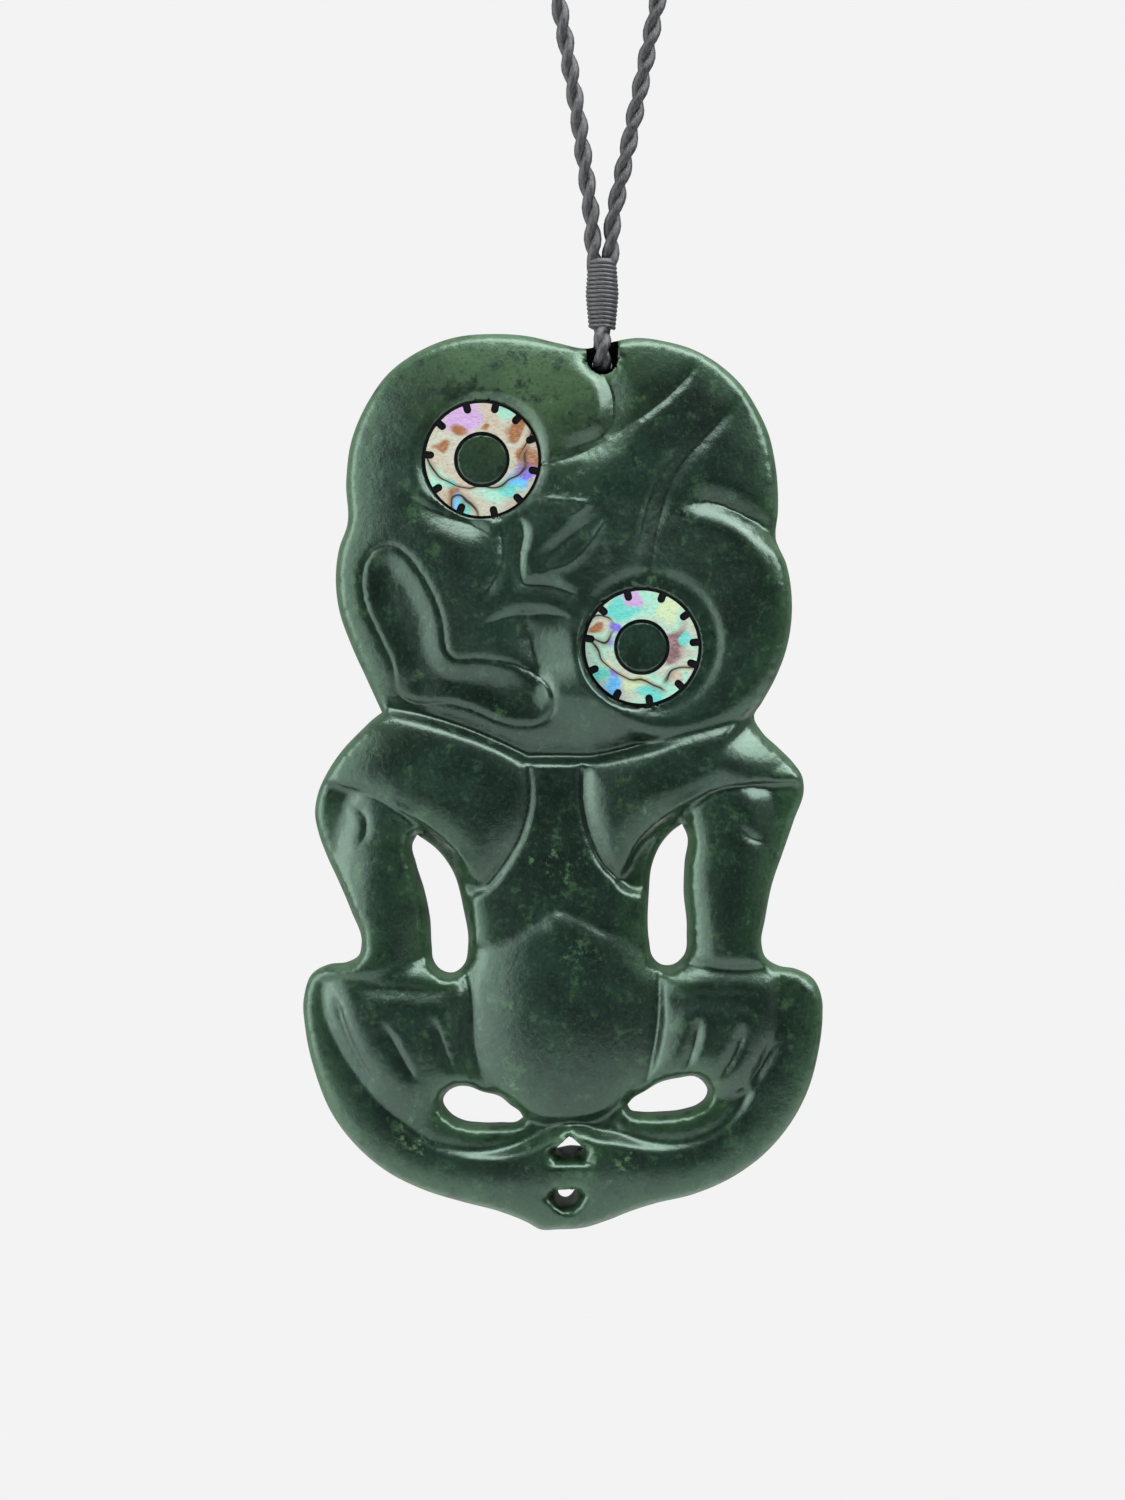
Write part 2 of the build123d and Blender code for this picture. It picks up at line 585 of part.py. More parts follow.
# The join at the nape: a plain barrel that both ends of the neck cord run into
with BuildPart() as cord_join:
    with Locations((0, 0, crotch_z + loop_top)):
        Cylinder(join_diameter / 2, join_length, rotation=(0, 90, 0))
    fillet(cord_join.edges().filter_by(GeomType.CIRCLE), join_round)
cord_join.part.label = "cord_join"
export_step(cord_join.part, "parts/cord_join.step")
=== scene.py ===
import json
import math
from typing import NamedTuple

import bpy
import numpy as np
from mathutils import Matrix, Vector, kdtree
from mathutils.geometry import delaunay_2d_cdt


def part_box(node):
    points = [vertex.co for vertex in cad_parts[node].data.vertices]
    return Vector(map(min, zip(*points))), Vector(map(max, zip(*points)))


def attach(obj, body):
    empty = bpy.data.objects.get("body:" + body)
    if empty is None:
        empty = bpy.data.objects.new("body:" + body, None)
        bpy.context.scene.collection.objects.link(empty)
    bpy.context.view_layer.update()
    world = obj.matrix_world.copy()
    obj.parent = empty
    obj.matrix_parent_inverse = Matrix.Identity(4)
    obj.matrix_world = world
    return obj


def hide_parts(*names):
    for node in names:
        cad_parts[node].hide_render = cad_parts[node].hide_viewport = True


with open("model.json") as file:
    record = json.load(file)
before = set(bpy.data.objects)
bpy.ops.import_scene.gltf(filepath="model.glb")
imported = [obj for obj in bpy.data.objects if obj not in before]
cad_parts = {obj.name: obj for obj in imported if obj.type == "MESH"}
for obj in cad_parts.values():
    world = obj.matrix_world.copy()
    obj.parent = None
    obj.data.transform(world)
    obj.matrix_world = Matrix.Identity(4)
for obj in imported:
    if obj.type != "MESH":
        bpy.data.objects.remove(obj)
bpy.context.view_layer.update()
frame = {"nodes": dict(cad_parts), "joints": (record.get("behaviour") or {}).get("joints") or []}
stone_low, stone_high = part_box("tiki")
bore_level = frame["joints"][0]["pos_m"][2]
mm = 0.001

# Sizes of the stone
tiki_width = 58.0
tiki_height = 100.0
tiki_depth = 9.0
slab_thickness = 4.8
hole_across = 0.0746
bore_up = 96.55
bore_radius = 1.08
hole_middle = np.array([hole_across * tiki_width, bore_up])

# Sizes of the cord
cord_radius = 1.0
lay_radius = 0.42
crotch_level = -306.0

# The photo's frame and the places that set the view, in its pixels
photo_width, photo_height = 1125, 1500
photo_left, photo_right, photo_foot = 303.5, 823.5, 1230

# How far the camera stands from the stone, in metres
camera_distance = 0.42


def placed(name, data):
    """A new object of the scene that holds a camera, a mesh or a light."""
    thing = bpy.data.objects.new(name, data)
    bpy.context.scene.collection.objects.link(thing)
    return thing


# Camera
def set_camera():
    """A level camera that sees the stone at the photo's size and place."""
    pixel = (stone_high.x - stone_low.x) / (photo_right - photo_left)
    camera = placed("camera", bpy.data.cameras.new("camera"))
    camera.location = (
        stone_low.x + (photo_width / 2 - photo_left) * pixel,
        -camera_distance,
        stone_low.z + (photo_foot - photo_height / 2) * pixel,
    )
    camera.rotation_euler = (math.radians(90), 0, 0)
    camera.data.lens = camera.data.sensor_width * camera_distance / (photo_height * pixel)
    camera.data.clip_start = 0.01
    bpy.context.scene.camera = camera


# Shader maths
class Value:
    """What a shader node gives out; Python's operators on it add Math nodes."""

    def __init__(self, graph, socket):
        self.graph = graph
        self.socket = socket

    def maths(self, operation, *values):
        return self.graph.node("Math", {"operation": operation}, dict(enumerate(values)))

    def __add__(self, other):
        return self.maths("ADD", self, other)

    def __sub__(self, other):
        return self.maths("SUBTRACT", self, other)

    def __rsub__(self, other):
        return self.maths("SUBTRACT", other, self)

    def __mul__(self, other):
        return self.maths("MULTIPLY", self, other)

    def __truediv__(self, other):
        return self.maths("DIVIDE", self, other)

    def __pow__(self, other):
        return self.maths("POWER", self, other)

    def __abs__(self):
        return self.maths("ABSOLUTE", self)

    __radd__ = __add__
    __rmul__ = __mul__

    def clamped(self):
        """The value kept between 0 and 1."""
        return self.graph.node("Clamp", {}, {"Value": self})

    def between(self, low, high):
        """0 at low, 1 at high, and a smooth passage from one to the other."""
        settings = {"interpolation_type": "SMOOTHSTEP"}
        return self.graph.node("MapRange", settings, {"Value": self, "From Min": low, "From Max": high})


class Graph:
    """The shader nodes of a material or of the world."""

    def __init__(self, tree):
        self.nodes = tree.nodes
        self.links = tree.links

    def node(self, kind, settings, sockets, output=0):
        """Adds a node, sets it up, fills its sockets and gives one of its outputs."""
        node = self.nodes.new("ShaderNode" + kind)
        for name, setting in settings.items():
            setattr(node, name, setting)
        for name, value in sockets.items():
            self.fill(node.inputs[name], value)
        return Value(self, node.outputs[output])

    def fill(self, socket, value):
        """Links a value to a socket, or sets the socket to a constant."""
        if isinstance(value, Value):
            self.links.new(value.socket, socket)
        elif isinstance(value, tuple) and len(value) == 3 and socket.type == "RGBA":
            socket.default_value = (*value, 1)
        else:
            socket.default_value = value


class Finish(Graph):
    """A material in the making."""

    def __init__(self, name, **constants):
        self.material = bpy.data.materials.new(name)
        self.material.use_nodes = True
        super().__init__(self.material.node_tree)
        self.surface = self.nodes["Principled BSDF"]
        self.give(**constants)

    def give(self, **values):
        """Sets the surface's sockets to constants, or links varying values to them."""
        for socket, value in values.items():
            self.fill(self.surface.inputs[socket.replace("_", " ")], value)

    def place(self, scale=(1, 1, 1), offset=(0, 0, 0)):
        """A point of the piece in metres, moved by the offset and then stretched by the scale."""
        point = self.node("TexCoord", {}, {}, "Object")
        moved = self.node("VectorMath", {"operation": "ADD"}, {0: point, 1: offset})
        return self.node("VectorMath", {"operation": "MULTIPLY"}, {0: moved, 1: scale})

    def noise(self, place, size, detail=3.0, roughness=0.5, distortion=0.0):
        """Soft random cloud whose lumps are about size metres, from 0 to 1."""
        sockets = {"Vector": place, "Scale": 1 / size, "Detail": detail, "Roughness": roughness}
        return self.node("TexNoise", {}, {**sockets, "Distortion": distortion})

    def attribute(self, name):
        """A number that the mesh carries at its points."""
        return self.node("Attribute", {"attribute_name": name}, {}, "Fac")

    def distance(self, place, middle):
        """How far a point is from the middle, in metres."""
        return self.node("VectorMath", {"operation": "DISTANCE"}, {0: place, 1: middle}, "Value")

    def near(self, place, middle, full, none):
        """1 nearer to the middle than the first distance, falling to 0 at the second."""
        return 1 - self.distance(place, middle).between(full, none)

    def mix(self, share, first, second):
        """The first colour, going over to the second as the share goes from 0 to 1."""
        share_in, first_in, second_in, colour_out = 0, 6, 7, 2
        sockets = {share_in: share, first_in: first, second_in: second}
        return self.node("Mix", {"data_type": "RGBA"}, sockets, colour_out)

    def bump(self, height, distance, strength):
        """Feeds a height, 0 to 1 over a distance in metres, to the surface as bump."""
        normal = self.node("Bump", {}, {"Height": height, "Distance": distance, "Strength": strength})
        self.give(Normal=normal)

    def dulled(self, share, colour):
        """Goes over to a dull colour, which has no shine at all, as the share goes from 0 to 1."""
        dull = self.node("BsdfDiffuse", {}, {"Color": colour})
        shine = Value(self, self.surface.outputs[0])
        mixed = self.node("MixShader", {}, {0: share, 1: shine, 2: dull})
        self.fill(self.nodes["Material Output"].inputs["Surface"], mixed)


# Lines and distances in the figure's plane
def on_stone(rows):
    """Places in mm on the figure's plane, from shares of the width and the height."""
    return np.array(rows, float) * (tiki_width, tiki_height)


def middle_of(thing):
    """The middle of a form, a boss or an eye, in mm on the figure's plane."""
    return on_stone((thing.across, thing.up))


def smooth(points, step, closed=False, corner=60):
    """A curve through the points, sampled about every step.

    It stays sharp where it turns by more than the corner's angle, in degrees.
    """
    points = np.array(points, float)
    after = np.roll(points, -1, axis=0) - points
    if not closed:
        after = after[:-1]
    length = np.linalg.norm(after, axis=1)
    heading = after / length[:, None]
    leaving = np.zeros_like(points)
    arriving = np.zeros_like(points)
    for i in range(len(points)):
        if not closed and i in (0, len(points) - 1):
            leaving[i] = arriving[i] = heading[min(i, len(heading) - 1)]
            continue
        turn = heading[i - 1] @ heading[i]
        if turn < math.cos(math.radians(corner)):
            arriving[i], leaving[i] = heading[i - 1], heading[i]
        else:
            blend = heading[i - 1] * length[i] + heading[i] * length[i - 1]
            leaving[i] = arriving[i] = blend / np.linalg.norm(blend)
    line = []
    for i in range(len(after)):
        j = (i + 1) % len(points)
        count = max(1, round(length[i] / step))
        t = np.arange(count)[:, None] / count
        line.append(
            points[i] * (2 * t**3 - 3 * t**2 + 1)
            + leaving[i] * length[i] * (t**3 - 2 * t**2 + t)
            + points[j] * (3 * t**2 - 2 * t**3)
            + arriving[j] * length[i] * (t**3 - t**2)
        )
    if not closed:
        line.append(points[-1:])
    return np.concatenate(line)


def circle(centre, radius):
    """Points round a circle."""
    turn = np.linspace(0, math.tau, round(math.tau * radius / circle_step), endpoint=False)
    return centre + radius * np.stack([np.cos(turn), np.sin(turn)], 1)


def beside(line, offset, closed=True):
    """A line moved to its left by the offset."""
    if closed:
        run = np.roll(line, -1, axis=0) - np.roll(line, 1, axis=0)
    else:
        run = np.gradient(line, axis=0)
    left = np.stack([-run[:, 1], run[:, 0]], 1)
    return line + offset * left / np.linalg.norm(run, axis=1)[:, None]


def tree_of(places):
    """A search tree over places in the plane."""
    tree = kdtree.KDTree(len(places))
    for i, (x, y) in enumerate(places.tolist()):
        tree.insert((x, y, 0), i)
    tree.balance()
    return tree


def nearest(places, line, closed=False):
    """The distance of places from a line, the side (+1 is left of travel) and the share passed."""
    tree = tree_of(line)
    at = np.array([tree.find((x, y, 0))[1] for x, y in places.tolist()], int)
    best = np.full(len(places), np.inf)
    side = np.ones(len(places))
    share = np.zeros(len(places))
    last = len(line) if closed else len(line) - 1
    for start in (at - 1, at):
        start = start % len(line) if closed else np.clip(start, 0, last - 1)
        a = line[start]
        run = line[(start + 1) % len(line)] - a
        away = places - a
        t = np.clip((away * run).sum(1) / (run**2).sum(1), 0, 1)
        distance = np.linalg.norm(away - t[:, None] * run, axis=1)
        closer = distance < best
        best[closer] = distance[closer]
        turn = run[:, 0] * away[:, 1] - run[:, 1] * away[:, 0]
        side[closer] = np.where(turn[closer] >= 0, 1, -1)
        share[closer] = ((start + t) / last)[closer]
    return best, side, share


def thinned(places, others, distance):
    """The places that keep the distance from the other ones."""
    tree = tree_of(others)
    gaps = np.array([tree.find((x, y, 0))[2] for x, y in places.tolist()])
    return places[gaps > distance]


def inside(places, loop):
    """Which places lie inside a closed line."""
    x, y = places.T
    odd = np.zeros(len(places), bool)
    for (x0, y0), (x1, y1) in zip(loop, np.roll(loop, -1, axis=0)):
        if y0 != y1:
            odd ^= ((y0 > y) != (y1 > y)) & (x < x0 + (x1 - x0) * (y - y0) / (y1 - y0))
    return odd


def quarter(t):
    """The height of a quarter circle, 0 at its foot and 1 from t = 1 on."""
    return np.sqrt(1 - (1 - np.clip(t, 0, 1)) ** 2)


def ease(t):
    """A smooth rise from 0 at t = 0 to 1 at t = 1."""
    t = np.clip(t, 0, 1)
    return t * t * (3 - 2 * t)


def soft_max(a, b, blend):
    """The larger of two heights, with the corner between them rounded over the blend."""
    near = np.clip(1 - np.abs(a - b) / blend, 0, 1)
    return np.maximum(a, b) + near**2 * blend / 4


# Outline of the figure, clockwise from the left side of the neck: across is a share of tiki_width from the
# centreline, up a share of tiki_height from the foot.
outline_points = [
    (-0.350, 0.578), (-0.380, 0.616), (-0.409, 0.653), (-0.432, 0.691), (-0.439, 0.728), (-0.432, 0.762),
    (-0.417, 0.787), (-0.419, 0.836), (-0.409, 0.881), (-0.376, 0.926), (-0.339, 0.956), (-0.284, 0.980),
    (-0.211, 0.997), (-0.138, 1.001), (-0.064, 0.998), (-0.009, 0.990), (0.043, 0.984), (0.091, 0.991),
    (0.147, 0.996), (0.193, 0.993), (0.249, 0.984), (0.305, 0.965), (0.345, 0.943), (0.374, 0.917),
    (0.396, 0.889), (0.407, 0.862), (0.413, 0.834), (0.414, 0.803), (0.410, 0.772), (0.430, 0.743),
    (0.440, 0.708), (0.430, 0.649), (0.411, 0.619), (0.382, 0.588), (0.368, 0.574), (0.382, 0.557),
    (0.414, 0.539), (0.443, 0.522), (0.461, 0.506), (0.464, 0.494), (0.444, 0.456), (0.422, 0.419),
    (0.403, 0.387), (0.389, 0.347), (0.382, 0.320), (0.389, 0.305), (0.414, 0.295), (0.449, 0.291),
    (0.482, 0.280), (0.499, 0.257), (0.500, 0.239), (0.491, 0.196), (0.470, 0.153), (0.434, 0.115),
    (0.389, 0.085), (0.322, 0.057), (0.249, 0.039), (0.176, 0.029), (0.132, 0.021), (0.084, 0.010),
    (0.039, 0.002), (-0.009, 0.000), (-0.044, 0.000), (-0.070, 0.008), (-0.122, 0.020), (-0.195, 0.031),
    (-0.268, 0.044), (-0.341, 0.065), (-0.397, 0.092), (-0.445, 0.128), (-0.478, 0.174), (-0.497, 0.221),
    (-0.500, 0.261), (-0.484, 0.286), (-0.453, 0.296), (-0.416, 0.299), (-0.395, 0.306), (-0.389, 0.320),
    (-0.409, 0.356), (-0.430, 0.385), (-0.457, 0.419), (-0.473, 0.445), (-0.479, 0.464), (-0.473, 0.488),
    (-0.457, 0.509), (-0.427, 0.535), (-0.386, 0.560), (-0.368, 0.570),
]

# Openings through the figure
gap_points = {
    "left arm": [
        (-0.282, 0.441), (-0.291, 0.431), (-0.284, 0.409), (-0.268, 0.379), (-0.257, 0.347), (-0.254, 0.317),
        (-0.250, 0.300), (-0.236, 0.290), (-0.212, 0.287), (-0.193, 0.295), (-0.184, 0.318), (-0.193, 0.358),
        (-0.216, 0.403), (-0.243, 0.424),
    ],
    "right arm": [
        (0.229, 0.453), (0.239, 0.440), (0.234, 0.411), (0.232, 0.379), (0.238, 0.335), (0.231, 0.305),
        (0.212, 0.296), (0.189, 0.296), (0.172, 0.305), (0.166, 0.321), (0.165, 0.374), (0.172, 0.409),
        (0.189, 0.431), (0.212, 0.446),
    ],
    "left leg": [
        (-0.232, 0.145), (-0.224, 0.153), (-0.199, 0.160), (-0.180, 0.159), (-0.159, 0.154), (-0.122, 0.148),
        (-0.101, 0.138), (-0.084, 0.131), (-0.078, 0.125), (-0.086, 0.121), (-0.122, 0.119), (-0.161, 0.119),
        (-0.195, 0.122), (-0.220, 0.131),
    ],
    "right leg": [
        (0.124, 0.139), (0.132, 0.145), (0.157, 0.154), (0.186, 0.164), (0.220, 0.169), (0.257, 0.170),
        (0.270, 0.164), (0.278, 0.155), (0.274, 0.147), (0.261, 0.140), (0.232, 0.134), (0.186, 0.131),
        (0.147, 0.131), (0.130, 0.133),
    ],
}

# Funnels under the belly: the opening and the lip that the stone slopes down from
funnel_points = {
    "upper": {
        "opening": [
            (0.011, 0.104), (-0.005, 0.098), (-0.013, 0.089), (0.014, 0.092), (0.039, 0.091), (0.030, 0.098),
        ],
        "lip": [
            (0.013, 0.109), (-0.014, 0.094), (-0.041, 0.076), (0.013, 0.077), (0.066, 0.076), (0.039, 0.094),
        ],
    },
    "lower": {
        "opening": [
            (-0.011, 0.045), (0.005, 0.048), (0.024, 0.046), (0.018, 0.039), (0.005, 0.034), (-0.009, 0.038),
        ],
        "lip": [
            (-0.043, 0.041), (-0.014, 0.047), (0.022, 0.048), (0.047, 0.044), (0.032, 0.030), (0.011, 0.019),
            (-0.014, 0.029),
        ],
    },
}


class Form(NamedTuple):
    """A raised form: a crowned ball or bar inside a region, creased and shouldered down at its border."""

    crown: str
    across: float  # centre of the crown, a share of tiki_width
    up: float  # centre of the crown, a share of tiki_height
    top: float  # height of the crown over the back, a share of tiki_depth
    fall: float  # how far the crown falls, a share of tiki_depth
    reach: float  # the distance over which it falls so far, a share of tiki_width
    lean: float  # direction of a bar in degrees from upright, clockwise
    stretch: float  # how much longer a ball is upwards than across
    crease_width: float  # in mm
    crease_drop: float  # in mm
    shoulder_width: float  # in mm
    shoulder_drop: float  # in mm
    region: list


forms = {
    "head": Form("ball", 0.0, 0.765, 0.93, 0.34, 0.44, 0.0, 1.0, 0.6, 0.35, 5.0, 1.2, [
        (-0.343, 0.578), (-0.211, 0.557), (-0.101, 0.531), (-0.007, 0.529), (0.064, 0.525), (0.176, 0.539),
        (0.368, 0.573), (0.550, 0.600), (0.550, 1.050), (-0.550, 1.050), (-0.550, 0.600),
    ]),
    "cheek": Form("ball", 0.24, 0.690, 0.97, 0.17, 0.20, 0.0, 1.0, 0.6, 0.2, 2.0, 0.3, [
        (0.100, 0.560), (0.176, 0.546), (0.368, 0.576), (0.550, 0.600), (0.550, 0.765), (0.411, 0.768),
        (0.370, 0.786), (0.322, 0.800), (0.274, 0.808), (0.212, 0.802), (0.182, 0.770), (0.170, 0.730),
        (0.100, 0.690),
    ]),
    "left upper arm": Form("ball", -0.21, 0.500, 0.84, 0.22, 0.25, 0.0, 1.0, 0.6, 0.1, 3.0, 0.5, [
        (-0.350, 0.576), (-0.211, 0.556), (-0.101, 0.530), (-0.076, 0.522), (-0.070, 0.485), (-0.084, 0.447),
        (-0.114, 0.415), (-0.151, 0.387), (-0.168, 0.389), (-0.212, 0.428), (-0.261, 0.452), (-0.320, 0.471),
        (-0.386, 0.492), (-0.441, 0.499), (-0.550, 0.490), (-0.550, 0.580),
    ]),
    "right upper arm": Form("ball", 0.24, 0.505, 0.88, 0.13, 0.22, 0.0, 1.0, 0.6, 0.3, 3.5, 0.9, [
        (0.368, 0.572), (0.249, 0.552), (0.176, 0.538), (0.064, 0.524), (0.034, 0.522), (0.034, 0.485),
        (0.047, 0.443), (0.076, 0.407), (0.105, 0.391), (0.124, 0.411), (0.139, 0.431), (0.176, 0.454),
        (0.230, 0.473), (0.286, 0.492), (0.370, 0.501), (0.550, 0.498), (0.550, 0.580),
    ]),
    "left forearm": Form("bar", -0.345, 0.380, 0.76, 0.22, 0.105, 13.0, 1.0, 0.6, 0.3, 1.5, 0.3, [
        (-0.550, 0.486), (-0.441, 0.495), (-0.386, 0.488), (-0.320, 0.467), (-0.282, 0.450), (-0.270, 0.400),
        (-0.210, 0.282), (-0.300, 0.282), (-0.550, 0.284),
    ]),
    "right forearm": Form("bar", 0.315, 0.390, 0.76, 0.22, 0.105, -9.0, 1.0, 0.6, 0.3, 1.5, 0.3, [
        (0.550, 0.494), (0.370, 0.497), (0.286, 0.488), (0.240, 0.472), (0.225, 0.400), (0.200, 0.295),
        (0.280, 0.295), (0.550, 0.300),
    ]),
    "chest": Form("bar", -0.005, 0.420, 0.73, 0.06, 0.13, 0.0, 1.0, 0.3, 0.0, 1.0, 0.0, [
        (-0.066, 0.520), (-0.060, 0.485), (-0.074, 0.444), (-0.104, 0.411), (-0.141, 0.383), (-0.175, 0.370),
        (-0.172, 0.321), (-0.139, 0.319), (-0.084, 0.332), (-0.043, 0.347), (-0.013, 0.364), (0.028, 0.351),
        (0.072, 0.336), (0.109, 0.328), (0.160, 0.322), (0.160, 0.375), (0.119, 0.378), (0.086, 0.402),
        (0.057, 0.440), (0.044, 0.485), (0.044, 0.520),
    ]),
    "belly": Form("ball", 0.0, 0.255, 0.88, 0.32, 0.185, 0.0, 1.42, 0.4, 0.15, 1.6, 0.1, [
        (-0.172, 0.318), (-0.084, 0.330), (-0.043, 0.345), (-0.013, 0.362), (0.028, 0.349), (0.072, 0.334),
        (0.158, 0.320), (0.174, 0.300), (0.180, 0.257), (0.174, 0.213), (0.147, 0.168), (0.089, 0.136),
        (0.007, 0.123), (-0.084, 0.134), (-0.141, 0.162), (-0.172, 0.201), (-0.180, 0.257),
    ]),
    "left thigh": Form("ball", -0.30, 0.225, 0.80, 0.20, 0.20, 0.0, 1.0, 0.5, 0.05, 3.6, 0.8, [
        (-0.462, 0.296), (-0.389, 0.298), (-0.300, 0.296), (-0.212, 0.292), (-0.192, 0.280), (-0.186, 0.257),
        (-0.180, 0.198), (-0.152, 0.160), (-0.120, 0.140), (-0.180, 0.105), (-0.262, 0.102), (-0.324, 0.127),
        (-0.379, 0.165), (-0.424, 0.208), (-0.452, 0.245),
    ]),
    "right thigh": Form("ball", 0.29, 0.225, 0.80, 0.20, 0.20, 0.0, 1.0, 0.5, 0.05, 3.6, 0.8, [
        (0.420, 0.294), (0.382, 0.295), (0.300, 0.294), (0.231, 0.292), (0.200, 0.290), (0.186, 0.283),
        (0.190, 0.250), (0.182, 0.210), (0.158, 0.164), (0.130, 0.142), (0.220, 0.140), (0.284, 0.150),
        (0.356, 0.160), (0.386, 0.203), (0.404, 0.233), (0.411, 0.262),
    ]),
    "left foot roll": Form("ball", -0.22, 0.120, 0.66, 0.10, 0.14, 0.0, 1.0, 0.5, 0.03, 3.2, 0.4, [
        (-0.376, 0.163), (-0.324, 0.127), (-0.262, 0.101), (-0.212, 0.092), (-0.174, 0.088), (-0.090, 0.091),
        (-0.045, 0.101), (-0.060, 0.125), (-0.120, 0.150), (-0.250, 0.175), (-0.330, 0.180),
    ]),
    "right foot roll": Form("ball", 0.22, 0.125, 0.66, 0.10, 0.14, 0.0, 1.0, 0.5, 0.03, 3.2, 0.4, [
        (0.095, 0.125), (0.115, 0.107), (0.157, 0.098), (0.212, 0.097), (0.268, 0.105), (0.315, 0.121),
        (0.348, 0.143), (0.360, 0.170), (0.320, 0.190), (0.200, 0.180), (0.130, 0.150),
    ]),
    "lower legs": Form("ball", 0.0, 0.257, 0.95, 0.38, 0.49, 0.0, 1.0, 0.5, 0.03, 4.5, 0.7, [
        (-0.550, 0.310), (-0.464, 0.290), (-0.455, 0.245), (-0.427, 0.206), (-0.382, 0.163), (-0.326, 0.124),
        (-0.264, 0.098), (-0.212, 0.089), (-0.174, 0.085), (-0.090, 0.088), (-0.041, 0.099),
        (0.012, 0.112), (0.060, 0.104), (0.110, 0.100), (0.157, 0.095), (0.212, 0.094), (0.268, 0.102),
        (0.316, 0.118), (0.350, 0.141), (0.370, 0.172), (0.391, 0.203), (0.408, 0.233), (0.415, 0.262),
        (0.425, 0.290), (0.550, 0.310), (0.550, -0.050), (-0.550, -0.050),
    ]),
}

mouth_points = [
    (-0.334, 0.763), (-0.368, 0.754), (-0.382, 0.738), (-0.380, 0.700), (-0.355, 0.666), (-0.328, 0.632),
    (-0.311, 0.595), (-0.277, 0.587), (-0.226, 0.588), (-0.174, 0.581), (-0.118, 0.567), (-0.070, 0.563),
    (-0.034, 0.569), (-0.018, 0.588), (-0.030, 0.609), (-0.070, 0.625), (-0.126, 0.635), (-0.174, 0.637),
    (-0.214, 0.639), (-0.225, 0.650), (-0.230, 0.674), (-0.247, 0.705), (-0.277, 0.736), (-0.307, 0.756),
]


class Boss(NamedTuple):
    """A low round dome; its radius and rise are in mm."""

    across: float
    up: float
    radius: float
    rise: float


bosses = {
    "navel": Boss(-0.009, 0.342, 1.9, 0.25),
    "left elbow": Boss(-0.405, 0.450, 3.4, 0.22),
    "right elbow": Boss(0.372, 0.466, 3.4, 0.22),
}


class Cut(NamedTuple):
    """A carved groove, or a raised crest where its depth is below 0; its sizes are in mm."""

    bottom: str  # sharp, round, or bevel for even slopes
    depth: float
    left: float  # width of the slope on the left of the course
    right: float
    fade_in: float  # share of the course over which it deepens at its start
    fade_out: float
    course: list


